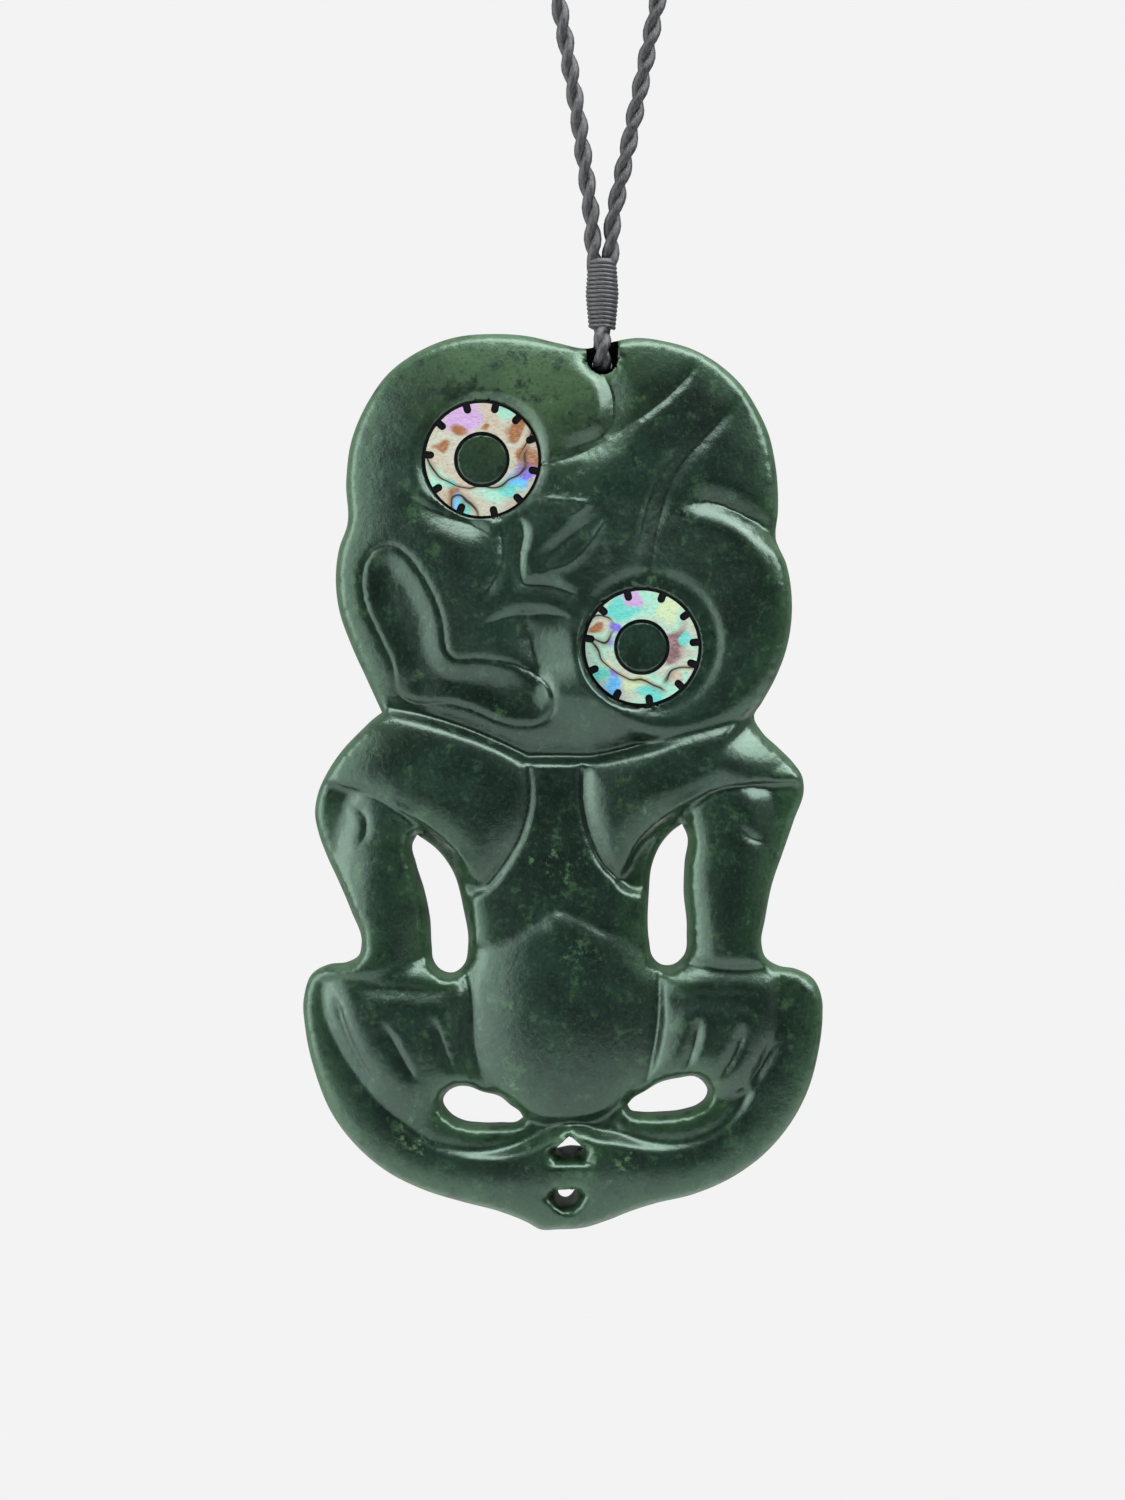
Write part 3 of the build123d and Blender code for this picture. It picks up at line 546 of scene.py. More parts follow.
cuts = {
    "right arm bevel": Cut("bevel", 0.7, 1.3, 0.4, 0.05, 0.15, [
        (0.036, 0.520), (0.034, 0.485), (0.047, 0.443), (0.076, 0.407), (0.108, 0.388),
    ]),
    "lower eye collar": Cut("bevel", -1.7, 0.6, 5.6, 0.35, 0.4, [
        (0.072, 0.704), (0.041, 0.680), (0.029, 0.650), (0.041, 0.620), (0.072, 0.596), (0.119, 0.582),
        (0.171, 0.580),
    ]),
    "mound valley": Cut("bevel", 1.5, 7.0, 4.0, 0.40, 0.35, [
        (-0.080, 0.706), (-0.072, 0.680), (-0.060, 0.650), (-0.044, 0.618), (-0.024, 0.592),
    ]),
    "curl bevel": Cut("bevel", 1.1, 3.2, 1.8, 0.2, 0.3, [
        (0.000, 0.985), (0.045, 0.971), (0.080, 0.950), (0.093, 0.930), (0.095, 0.908), (0.080, 0.887),
        (0.045, 0.876), (-0.007, 0.867), (-0.036, 0.864),
    ]),
    "under curl": Cut("sharp", 0.35, 0.6, 0.6, 0.3, 0.3, [
        (-0.059, 0.850), (-0.007, 0.857), (0.047, 0.867), (0.089, 0.881),
    ]),
    "brow groove": Cut("sharp", 0.42, 3.0, 0.6, 0.2, 0.3, [
        (0.082, 0.876), (0.145, 0.902), (0.212, 0.933), (0.243, 0.953), (0.268, 0.972),
    ]),
    "temple groove": Cut("sharp", 0.60, 2.0, 1.6, 0.2, 0.1, [
        (0.347, 0.937), (0.314, 0.912), (0.272, 0.884), (0.232, 0.859), (0.199, 0.826), (0.178, 0.783),
        (0.166, 0.743), (0.164, 0.722),
    ]),
    "temple ridge": Cut("round", -0.3, 0.9, 0.9, 0.3, 0.2, [
        (0.250, 0.890), (0.205, 0.855), (0.172, 0.820), (0.152, 0.780), (0.142, 0.745),
    ]),
    "cheek wall": Cut("bevel", 0.9, 2.5, 1.9, 0.25, 0.03, [
        (0.222, 0.797), (0.247, 0.808), (0.278, 0.811), (0.309, 0.806), (0.343, 0.796), (0.374, 0.784),
        (0.414, 0.766),
    ]),
    "cheek valley": Cut("round", 0.2, 1.4, 1.6, 0.2, 0.3, [
        (0.230, 0.800), (0.208, 0.778), (0.194, 0.750), (0.190, 0.722),
    ]),
    "nose edge": Cut("sharp", 0.65, 0.9, 2.5, 0.15, 0.2, [
        (-0.094, 0.799), (-0.075, 0.779), (-0.080, 0.757), (-0.080, 0.727), (-0.075, 0.720), (-0.015, 0.717),
        (0.011, 0.711), (0.045, 0.702),
    ]),
    "nose leaf": Cut("round", 0.5, 1.5, 1.3, 0.35, 0.4, [
        (-0.062, 0.735), (-0.026, 0.753), (0.016, 0.774), (0.045, 0.787), (0.068, 0.797),
    ]),
    "nose crest": Cut("sharp", -0.35, 0.6, 0.9, 0.25, 0.25, [
        (-0.062, 0.731), (-0.020, 0.736), (0.010, 0.742), (0.040, 0.757), (0.062, 0.774), (0.081, 0.791),
        (0.085, 0.767), (0.083, 0.747), (0.096, 0.730),
    ]),
    "nose spike": Cut("sharp", -0.35, 0.5, 1.0, 0.2, 0.3, [
        (-0.058, 0.816), (-0.011, 0.813), (0.027, 0.811), (0.049, 0.809), (0.028, 0.798), (-0.007, 0.794),
    ]),
    "cheek fold": Cut("sharp", 0.5, 2.2, 0.9, 0.25, 0.3, [
        (-0.126, 0.793), (-0.118, 0.771), (-0.118, 0.744), (-0.130, 0.727), (-0.145, 0.713), (-0.168, 0.691),
    ]),
    "lip": Cut("sharp", 0.45, 0.6, 1.6, 0.25, 0.25, [
        (-0.164, 0.670), (-0.122, 0.681), (-0.082, 0.687), (-0.026, 0.687), (0.036, 0.678),
    ]),
    "eye fold": Cut("bevel", 0.85, 1.2, 2.4, 0.35, 0.3, [
        (-0.311, 0.823), (-0.266, 0.806), (-0.218, 0.793), (-0.164, 0.783), (-0.130, 0.766),
    ]),
    "left arm crest": Cut("sharp", -0.3, 0.9, 0.9, 0.15, 0.2, [
        (-0.459, 0.499), (-0.420, 0.496), (-0.372, 0.484), (-0.314, 0.469), (-0.257, 0.451), (-0.209, 0.426),
        (-0.180, 0.407), (-0.164, 0.389),
    ]),
    "right arm crest": Cut("sharp", -0.3, 0.9, 0.9, 0.15, 0.2, [
        (0.449, 0.500), (0.370, 0.500), (0.286, 0.491), (0.230, 0.477), (0.178, 0.454), (0.141, 0.431),
        (0.124, 0.411),
    ]),
    "left elbow crescent": Cut("round", 0.3, 0.5, 0.5, 0.3, 0.3, [
        (-0.411, 0.475), (-0.388, 0.468), (-0.376, 0.453), (-0.382, 0.438), (-0.397, 0.427),
    ]),
    "right elbow crescent": Cut("round", 0.3, 0.5, 0.5, 0.3, 0.3, [
        (0.339, 0.454), (0.349, 0.444), (0.366, 0.436), (0.389, 0.434),
    ]),
    "left thigh hollow": Cut("round", 0.45, 1.1, 1.6, 0.25, 0.2, [
        (-0.415, 0.269), (-0.353, 0.271), (-0.276, 0.269), (-0.196, 0.266),
    ]),
    "right thigh hollow": Cut("round", 0.4, 1.6, 2.2, 0.2, 0.25, [
        (0.186, 0.256), (0.263, 0.260), (0.339, 0.260), (0.398, 0.254),
    ]),
    "left thigh edge": Cut("round", 0.35, 1.0, 1.0, 0.25, 0.25, [
        (-0.204, 0.262), (-0.202, 0.225), (-0.196, 0.190), (-0.180, 0.168),
    ]),
    "right shoulder slope": Cut("bevel", 2.8, 1.0, 6.5, 0.12, 0.30, [
        (0.352, 0.580), (0.384, 0.563), (0.418, 0.542), (0.446, 0.523), (0.466, 0.500),
    ]),
    "left finger one": Cut("sharp", 0.5, 0.35, 2.2, 0.2, 0.3, [
        (-0.434, 0.268), (-0.424, 0.242), (-0.405, 0.213), (-0.378, 0.183), (-0.338, 0.157),
    ]),
    "left finger two": Cut("sharp", 0.5, 0.35, 2.2, 0.25, 0.3, [
        (-0.349, 0.236), (-0.322, 0.213), (-0.301, 0.190), (-0.276, 0.167),
    ]),
    "left finger three": Cut("sharp", 0.5, 0.35, 2.2, 0.25, 0.3, [
        (-0.253, 0.244), (-0.232, 0.217), (-0.216, 0.191), (-0.197, 0.168),
    ]),
    "right finger one": Cut("round", 0.6, 0.95, 0.95, 0.3, 0.3, [
        (0.257, 0.247), (0.253, 0.218), (0.239, 0.192), (0.224, 0.172),
    ]),
    "right finger two": Cut("round", 0.6, 0.95, 0.95, 0.3, 0.3, [
        (0.341, 0.236), (0.336, 0.213), (0.314, 0.187), (0.287, 0.164),
    ]),
    "calf valley": Cut("round", 0.4, 1.2, 1.2, 0.3, 0.3, [
        (0.414, 0.218), (0.393, 0.196), (0.362, 0.172), (0.339, 0.161),
    ]),
}


class Eye(NamedTuple):
    """An eye: the ring's centre as shares of the stone's size, and the sunk ground round it in mm."""

    across: float
    up: float
    ground_across: float  # how far the ground's centre lies from the ring's
    ground_up: float
    ground_radius: float
    bank: float  # slope of the bank round the ground
    bank_width: float  # from the ground to the crest; past it the stone rises only a little


eyes = {
    "upper": Eye(-0.156, 0.858, -0.45, 0.55, 6.3, 0.62, 1.5),
    "lower": Eye(0.150, 0.650, 0.7, 0.5, 7.6, 0.55, 0.8),
}
socket_floor = 6.2
past_crest = 0.16
bank_blend = 0.2
channel_inner, channel_outer = 2.8, 6.56
channel_floor = 4.95

# The notches in front of and behind the suspension hole, with the bridge of stone left between them
notch_radius = 1.7
notch_rise = 0.5
notch_top = 5.0
bridge_front, bridge_back = 4.5, 2.7
bridge_middle = 3.6
bridge_reach, bridge_blend = 3.0, 6.0

# How the forms meet: the corner between two of them, the slope of a form's wall and how its border is drawn
form_blend = 0.45
wall_slope = 2.5
region_step, region_corner = 0.5, 50

# Slopes from 0 at the bottom of a cut to 1 at its side
profiles = {
    "sharp": lambda slope: (1 - slope) ** 2,
    "round": lambda slope: (1 - slope**2) ** 2,
    "bevel": lambda slope: (1 - slope) ** 1.35,
}
boss_spread = 1.4
mouth_groove, mouth_groove_width = 0.35, 0.3
mouth_hollow, mouth_hollow_width = 0.6, 2.8
funnel_power = 0.8

# How the face comes down to a border: shares of its height, and the width over which each is lost
face_rounds = {"outline": ((0.80, 0.8), (0.20, 5)), "gap": ((0.7, 0.9), (0.3, 3))}
back_round = 1.1
seam_depth = {"outline": 2.6, "gap": 2.3, "funnel": 1.0, "bore": bridge_middle}

# Wear, and how far the crisp edges keep it away
wear_rounds = 3
wear_share = 0.8
nearest_neighbour = 0.02
crisp_border = 0.3
crisp_channel = 0.1
crisp_notch = 0.15

# How the mesh of the stone is laid out
line_step = 0.35
circle_step = 0.25
front_grid = 0.30
back_grid = 0.9
grid_margin = 0.01
seam_offsets = (0.02, 0.06, 0.13, 0.24, 0.4, 0.6, 0.85)
cut_offsets = (-0.3, -0.13, 0, 0.13, 0.3)
mouth_offsets = (-0.3, -0.15, 0, 0.15, 0.3)
wall_offsets = (-0.04, 0.04)
notch_points = 16
notch_step = 0.3
ring_share = 0.93
row_margin, row_gap = 0.05, 0.04
grid_gap, widest_gap = 0.6, 0.4
same_point = 1e-7


class Loop(NamedTuple):
    """A closed border of the stone, sampled, and what kind of border it is."""

    kind: str
    line: np.ndarray


def stone_loops():
    """The outline, the gaps, the funnels' openings and the bore."""
    loops = [Loop("outline", smooth(on_stone(outline_points), line_step, True))]
    for points in gap_points.values():
        loops.append(Loop("gap", smooth(on_stone(points), line_step, True)))
    for funnel in funnel_points.values():
        loops.append(Loop("funnel", smooth(on_stone(funnel["opening"]), line_step, True)))
    loops.append(Loop("bore", circle(hole_middle, bore_radius)))
    return loops


def in_stone(places, loops):
    """Which places lie inside the outline and outside every opening."""
    within = inside(places, loops[0].line)
    for loop in loops[1:]:
        within &= ~inside(places, loop.line)
    return within


def to_border(places, loops):
    """How far places are from the nearest border of the stone."""
    return np.min([nearest(places, loop.line, True)[0] for loop in loops], axis=0)


def seam_height(places, kind):
    """Depth of the seam between face and back at a border; it rises to the bridge beside the hole."""
    from_hole = np.linalg.norm(places - hole_middle, axis=1)
    near_hole = 1 - ease((from_hole - bridge_reach) / bridge_blend)
    return seam_depth[kind] + (bridge_middle - seam_depth[kind]) * near_hole


def in_notch(places):
    """Distance into the notch round the suspension hole, which is open at the top; negative outside."""
    away = places - hole_middle - (0, notch_rise)
    beside_hole = notch_radius - np.abs(away[:, 0])
    below_hole = notch_radius - np.linalg.norm(away, axis=1)
    return np.where(away[:, 1] > 0, beside_hole, below_hole)


def crown(form, places):
    """Height of a form's crown over the back."""
    fall = form.fall * tiki_depth
    reach = form.reach * tiki_width
    radius = (reach**2 + fall**2) / (2 * fall)
    away = places - middle_of(form)
    lean = math.radians(form.lean)
    if form.crown == "bar":
        distance = np.abs(away[:, 0] * math.cos(lean) - away[:, 1] * math.sin(lean))
    else:
        distance = np.linalg.norm(away / (1, form.stretch), axis=1)
    return form.top * tiki_depth - radius + np.sqrt(np.maximum(radius**2 - distance**2, 0))


def raised_forms(places):
    """Height of the forms over the back, before anything is cut into them."""
    height = np.full(len(places), slab_thickness)
    for form in forms.values():
        region = smooth(on_stone(form.region), region_step, True, region_corner)
        distance = nearest(places, region, True)[0]
        border = form.crease_drop * (1 - quarter(distance / form.crease_width))
        border += form.shoulder_drop * np.clip(1 - distance / form.shoulder_width, 0, 1) ** 2
        foot = form.crease_drop + form.shoulder_drop + wall_slope * distance
        drop = np.where(inside(places, region), border, foot)
        height = soft_max(height, crown(form, places) - drop, form_blend)
    return height


def sink_grounds(places, height):
    """The height after the sunk grounds round the eyes, each with its bank."""
    for eye in eyes.values():
        ground_middle = middle_of(eye) + (eye.ground_across, eye.ground_up)
        outward = np.linalg.norm(places - ground_middle, axis=1) - eye.ground_radius
        bank = socket_floor + eye.bank * np.clip(outward, 0, eye.bank_width)
        bank += past_crest * np.maximum(outward - eye.bank_width, 0)
        height = -soft_max(-height, -bank, bank_blend)
    return height


def raise_bosses(places, height):
    """The height with the bosses on it."""
    for boss in bosses.values():
        away = np.linalg.norm(places - middle_of(boss), axis=1)
        height = height + boss.rise * ease(boss_spread * (1 - away / boss.radius))
    return height


def carve_cuts(places, height):
    """The height after the grooves and crests."""
    for cut in cuts.values():
        course = smooth(on_stone(cut.course), line_step)
        reach = max(cut.left, cut.right)
        close = np.all((places > course.min(0) - reach) & (places < course.max(0) + reach), axis=1)
        distance, side, share = nearest(places[close], course)
        slope = np.clip(distance / np.where(side > 0, cut.left, cut.right), 0, 1)
        fade = ease(share / cut.fade_in) * ease((1 - share) / cut.fade_out)
        height[close] -= cut.depth * profiles[cut.bottom](slope) * fade
    return height


def carve_mouth(places, height):
    """The height after the groove round the mouth and the hollow inside it."""
    mouth = smooth(on_stone(mouth_points), line_step, True)
    distance = nearest(places, mouth, True)[0]
    height -= mouth_groove * np.clip(1 - distance / mouth_groove_width, 0, 1)
    height -= np.where(inside(places, mouth), mouth_hollow * ease(distance / mouth_hollow_width), 0)
    return height


def cut_sockets(places, height):
    """The height after the eye sockets: a flat floor, and the channel for the ring round the pupil."""
    for eye in eyes.values():
        away = np.linalg.norm(places - middle_of(eye), axis=1)
        height = np.where(away < channel_outer, np.minimum(height, socket_floor), height)
        height = np.where((away > channel_inner) & (away < channel_outer), channel_floor, height)
    return height


def open_funnels(places, height, loops):
    """The height after the funnels, which slope from their lips to their openings."""
    openings = [loop for loop in loops if loop.kind == "funnel"]
    for opening, funnel in zip(openings, funnel_points.values()):
        lip = smooth(on_stone(funnel["lip"]), line_step, True)
        from_opening = nearest(places, opening.line, True)[0]
        from_lip = nearest(places, lip, True)[0]
        slope = (from_opening / (from_opening + from_lip)) ** funnel_power
        seam = seam_depth["funnel"]
        height = np.where(inside(places, lip), seam + (height - seam) * slope, height)
    return height


def stone_face(places, loops):
    """Height of the carved face over the back."""
    height = sink_grounds(places, raised_forms(places))
    height = carve_cuts(places, raise_bosses(places, height))
    height = cut_sockets(places, carve_mouth(places, height))
    height = np.where(in_notch(places) > 0, np.minimum(height, bridge_front), height)
    for loop in loops:
        if loop.kind in face_rounds:
            distance = nearest(places, loop.line, True)[0]
            seam = seam_height(places, loop.kind)
            share = sum(part * quarter(distance / width) for part, width in face_rounds[loop.kind])
            height = seam + (height - seam) * share
    return open_funnels(places, height, loops)


def stone_back(places, loops):
    """Height of the back, which is flat with eased edges."""
    floor = np.where(in_notch(places) > 0, bridge_back, 0.0)
    for loop in loops:
        if loop.kind != "bore":
            distance = nearest(places, loop.line, True)[0]
            seam = seam_height(places, loop.kind)
            floor = seam + (floor - seam) * quarter(distance / back_round)
    return floor


def worn(places, faces, heights, held):
    """The heights after wear: a free point is drawn to the mean of its neighbours, most to the near ones."""
    ends = np.concatenate([faces[:, (0, 1)], faces[:, (1, 2)], faces[:, (2, 0)]])
    ends = np.unique(np.sort(ends, axis=1), axis=0)
    ends = np.concatenate([ends, ends[:, ::-1]])
    start, end = ends.T
    pull = 1 / np.maximum(np.linalg.norm(places[start] - places[end], axis=1), nearest_neighbour)
    total = np.maximum(np.bincount(start, pull, len(places)), 1e-9)
    for _ in range(wear_rounds):
        mean = np.bincount(start, pull * heights[end], len(places)) / total
        heights = np.where(held, heights, (1 - wear_share) * heights + wear_share * mean)
    return heights


def crisp(places, rim):
    """Which places keep their height: those at a border, in the eyes' channels and in the notch."""
    keep = (rim < crisp_border) | (in_notch(places) > -crisp_notch)
    for eye in eyes.values():
        keep |= np.linalg.norm(places - middle_of(eye), axis=1) < channel_outer + crisp_channel
    return keep


def hex_grid(step):
    """Points of an even triangular grid over the whole stone."""
    margin = grid_margin
    across = np.arange((-0.5 - margin) * tiki_width, (0.5 + margin) * tiki_width, step)
    up = np.arange(-margin * tiki_height, (1 + margin) * tiki_height, step * math.sqrt(3) / 2)
    x, y = np.meshgrid(across, up)
    x = x + step / 2 * (np.arange(len(up))[:, None] % 2)
    return np.stack([x.ravel(), y.ravel()], 1)


def notch_line(offset):
    """Points along the wall of the notch, drawn in by the offset."""
    radius = notch_radius - offset
    turn = np.linspace(math.pi, math.tau, notch_points)
    foot = np.stack([np.cos(turn), np.sin(turn)], 1) * radius
    rise = np.arange(notch_step, notch_top, notch_step)
    left = np.stack([np.full(len(rise), -radius), rise], 1)
    right = left * (-1, 1)
    return hole_middle + (0, notch_rise) + np.concatenate([left[::-1], foot, right])


def face_rows():
    """Rows of mesh points along the cuts, the mouth, the sockets and the notch, to keep their edges crisp."""
    rows = []
    for cut in cuts.values():
        course = smooth(on_stone(cut.course), front_grid)
        rows += [beside(course, offset, False) for offset in cut_offsets]
    mouth = smooth(on_stone(mouth_points), front_grid, True)
    rows += [beside(mouth, offset) for offset in mouth_offsets]
    for eye in eyes.values():
        for radius in (channel_inner, channel_outer):
            rows += [circle(middle_of(eye), radius + offset) for offset in wall_offsets]
    return np.concatenate(rows + [back_rows()])


def back_rows():
    """Rows of mesh points along the notch."""
    return np.concatenate([notch_line(offset) for offset in wall_offsets])


def mesh_points(loops, rows, step):
    """Inner points of one side of the stone: rings along its borders, the rows, and a grid between them."""
    rings = []
    for loop in loops:
        for offset in seam_offsets:
            for side in (-1, 1):
                ring = beside(loop.line, side * offset)
                rings.append(ring[in_stone(ring, loops) & (to_border(ring, loops) > ring_share * offset)])
    rings = np.concatenate(rings)
    rows = rows[in_stone(rows, loops) & (to_border(rows, loops) > row_margin)]
    rows = thinned(rows, rings, row_gap)
    grid = hex_grid(step)
    grid = grid[in_stone(grid, loops) & (to_border(grid, loops) > seam_offsets[-1] + step / 2)]
    grid = thinned(grid, rows, grid_gap * min(step, widest_gap))
    return np.concatenate([rings, rows, grid])


def triangles(loops, inner):
    """Points and triangles over one side of the stone, and which given point each of its points is.

    The loops' points are given first and the inner ones after them. A point that is new has -1.
    """
    edges = []
    start = 0
    for loop in loops:
        count = len(loop.line)
        edges += [(start + i, start + (i + 1) % count) for i in range(count)]
        start += count
    given = np.concatenate([loop.line for loop in loops] + [inner])
    corners = [Vector(place) for place in given.tolist()]
    # The seam is found by the origins of the points, which come only when they are asked for
    whole_hull, with_origins = 0, True
    result = delaunay_2d_cdt(corners, edges, [], whole_hull, same_point, with_origins)
    places = np.array([tuple(place) for place in result[0]])
    faces = np.array(result[2], int)
    origin = np.array([sources[0] if sources else -1 for sources in result[3]], int)
    return places, faces[in_stone(places[faces].mean(1), loops)], origin


def add_piece(name, vertices, faces, finish, body, *nodes):
    """Adds a smooth-shaded mesh, in mm, that rides on a body and stands for CAD nodes."""
    mesh = bpy.data.meshes.new(name)
    mesh.from_pydata((np.asarray(vertices) * mm).tolist(), [], [tuple(face) for face in faces])
    mesh.validate()
    mesh.shade_smooth()
    mesh.materials.append(finish.material)
    piece = placed(name, mesh)
    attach(piece, body)
    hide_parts(*nodes)
    return piece


def add_stone(finish):
    """The carved stone as one closed mesh: a face and a back that meet at the seam."""
    loops = stone_loops()
    seam = np.concatenate([seam_height(loop.line, loop.kind) for loop in loops])
    face, face_triangles, face_origin = triangles(loops, mesh_points(loops, face_rows(), front_grid))
    back, back_triangles, back_origin = triangles(loops, mesh_points(loops, back_rows(), back_grid))
    at_seam = (face_origin >= 0) & (face_origin < len(seam))
    face_depth = stone_face(face, loops)
    face_depth[at_seam] = seam[face_origin[at_seam]]
    face_depth = worn(face, face_triangles, face_depth, crisp(face, to_border(face, loops)))
    # The back takes the face's points at the seam and adds its own after them
    seam_number = np.full(len(seam), -1)
    seam_number[face_origin[at_seam]] = np.nonzero(at_seam)[0]
    shared = (back_origin >= 0) & (back_origin < len(seam))
    number = np.zeros(len(back), int)
    number[shared] = seam_number[back_origin[shared]]
    number[~shared] = len(face) + np.arange((~shared).sum())
    places = np.concatenate([face, back[~shared]])
    depths = np.concatenate([face_depth, stone_back(back, loops)[~shared]])
    vertices = np.stack([
        places[:, 0] - hole_across * tiki_width,
        stone_high.y / mm - depths,
        places[:, 1] + bore_level / mm - bore_up,
    ], 1)
    faces = np.concatenate([face_triangles, number[back_triangles][:, ::-1]])
    stone = add_piece("carved_stone", vertices, faces, finish, "pendant", "tiki")
    rim = to_border(places, loops)
    # The hole mask marks the notch and the bore, where the stone is given a painted shadow
    hole = (in_notch(places) > 0) & (depths < bridge_front + crisp_channel)
    for name, values in (("rim", rim), ("hole", hole)):
        attribute = stone.data.attributes.new(name, "FLOAT", "POINT")
        attribute.data.foreach_set("value", values.astype(np.float32))


# Cords
neck_route_left = [
    (1.05, 0.0), (1.05, 2.5), (1.68, 7.5), (3.04, 17.4), (6.58, 37.1), (14.35, 76.3), (25.80, 135.2),
    (36.39, 190.2), (43.75, 229.5), (48.60, 258.1), (46.40, 276.2), (38.80, 292.6), (28.40, 303.4),
    (16.00, 308.5), (4.50, 308.5),
]
neck_route_right = [
    (1.05, 0.0), (1.05, 2.5), (2.05, 7.4), (4.16, 17.2), (8.04, 36.8), (15.20, 76.2), (26.13, 135.2),
    (36.62, 190.2), (43.84, 229.5), (48.38, 258.1), (46.60, 276.0), (39.10, 292.4), (28.60, 303.5),
    (16.20, 308.5), (4.50, 308.5),
]
# The ends of the route that run on into the whipping and into the join
whipping_tail = [(0.60, -3.0), (0.85, -1.4)]
join_tail = [(3.50, 308.5)]

# The bight through the hole: y, and the height over the hole's centre
bight_route = [
    (-0.6, 4.3), (-0.7, 3.7), (-2.05, 2.7), (-2.05, 0.7), (-1.2, 0.0), (1.2, 0.0), (2.05, 0.7), (2.05, 2.7),
    (0.7, 3.7), (0.6, 4.3),
]

# In the bore the cord is pressed to its full round
packed_half = 0.8
packed_gap = 0.02
packed_rings = 8

# How the plies are twisted round each other: the mesh's step, the length of a turn, and the turn it starts at
neck_step, neck_pitch, neck_start = 0.4, 6.4, 0.9
bight_step, bight_pitch, bight_start = 0.2, 5.2, 0.6

# The whipping: levels below the crotch, and the half widths across and from front to back
whipping_levels = [(-0.3, 1.45, 1.20), (-1.4, 1.35, 1.30), (-5.2, 1.62, 1.62), (-9.2, 1.25, 1.60)]
thread_radius = 0.26
thread_turns = 16
thread_turn_points = 48
thread_top, thread_foot = -1.3, -8.9

# The core that the thread is wound on
core_top, core_foot = -1.25, -9.0
core_share = 0.97
core_rings, core_around = 24, 32


class Lay(NamedTuple):
    """How a strand's surface is laid."""

    around: int  # points round the strand
    lobes: int
    lobe_depth: float  # a share of the radius
    lobe_pitch: float  # in mm
    swelling: float  # unevenness, a share of the radius


ply_lay = Lay(24, 6, 0.13, 5.0, 0.05)
packed_lay = Lay(32, 12, 0.05, 3.0, 0.0)
thread_lay = Lay(10, 2, 0.2, 0.9, 0.0)

# The waves of a strand's unevenness along its length, in radians a mm
long_wave, middle_wave, short_wave = 0.7, 1.9, 3.1


def drawn(name, route):
    """The points of a smooth spline with the route's points as its controls, in mm."""
    curve = bpy.data.curves.new(name, "CURVE")
    curve.dimensions = "3D"
    curve.resolution_u = 32
    spline = curve.splines.new("NURBS")
    spline.points.add(len(route) - 1)
    for point, place in zip(spline.points, route):
        point.co = (*place, 1)
    spline.order_u = 3
    spline.use_endpoint_u = True
    holder = bpy.data.objects.new(name, curve)
    mesh = bpy.data.meshes.new_from_object(holder)
    line = np.array([tuple(vertex.co) for vertex in mesh.vertices])
    bpy.data.objects.remove(holder)
    bpy.data.curves.remove(curve)
    bpy.data.meshes.remove(mesh)
    return line


def passed_along(line):
    """The length of a line up to each of its points."""
    return np.concatenate([[0], np.cumsum(np.linalg.norm(np.diff(line, axis=0), axis=1))])


def evenly(line, step):
    """A line's points set out again at even steps, and the distance passed at each."""
    passed = passed_along(line)
    along = np.linspace(0, passed[-1], max(2, round(passed[-1] / step)))
    return np.stack([np.interp(along, passed, line[:, i]) for i in range(3)], 1), along


def carried_frames(line):
    """Two directions square to a line at each of its points, carried along it without twisting."""
    tangent = np.gradient(line, axis=0)
    tangent /= np.linalg.norm(tangent, axis=1)[:, None]
    side = np.cross(tangent[0], (0, 1, 0))
    nearly_along = 0.1
    if np.linalg.norm(side) < nearly_along:
        side = np.cross(tangent[0], (1, 0, 0))
    sides = []
    for heading in tangent:
        side = side - heading * (side @ heading)
        side = side / np.linalg.norm(side)
        sides.append(side)
    sides = np.array(sides)
    return sides, np.cross(tangent, sides)


def tube_faces(rings, around):
    """Faces of a tube with closed ends, over rings of points one after the other."""
    faces = []
    for start in range(0, (rings - 1) * around, around):
        for j in range(around):
            k = (j + 1) % around
            faces.append((start + j, start + k, start + around + k, start + around + j))
    last = (rings - 1) * around
    faces.append(tuple(range(around - 1, -1, -1)))
    faces.append(tuple(range(last, last + around)))
    return faces


def strand(line, radius, lay):
    """A closed round strand along a line, lobed like laid threads and a little uneven: points and faces."""
    sides, ups = carried_frames(line)
    steps = passed_along(line)[:, None]
    turn = np.linspace(0, math.tau, lay.around, endpoint=False)[None, :]
    groove = 1 - np.abs(np.sin(lay.lobes / 2 * (turn - math.tau * steps / lay.lobe_pitch)))
    wave = np.sin(middle_wave * steps + 2 * np.sin(long_wave * steps)) + np.sin(short_wave * steps + turn)
    ring = radius * (1 - lay.lobe_depth * groove**2 + lay.swelling * wave / 2)
    points = (
        line[:, None, :]
        + (ring * np.cos(turn))[:, :, None] * sides[:, None, :]
        + (ring * np.sin(turn))[:, :, None] * ups[:, None, :]
    )
    return points.reshape(-1, 3), tube_faces(len(line), lay.around)


def joined(parts):
    """Several meshes' points and faces as one."""
    points = []
    faces = []
    start = 0
    for part_points, part_faces in parts:
        points.append(part_points)
        faces += [tuple(start + i for i in face) for face in part_faces]
        start += len(part_points)
    return np.concatenate(points), faces


def twisted_pair(line, step, pitch, start_turn):
    """Two plies laid round each other along a line; each is itself laid of threads the other way."""
    centre, passed = evenly(line, step)
    sides, ups = carried_frames(centre)
    plies = []
    for ply in range(2):
        turn = math.tau * passed / pitch + math.pi * ply + start_turn
        path = centre + lay_radius * (np.cos(turn)[:, None] * sides + np.sin(turn)[:, None] * ups)
        plies.append(strand(path, cord_radius - lay_radius, ply_lay))
    return plies


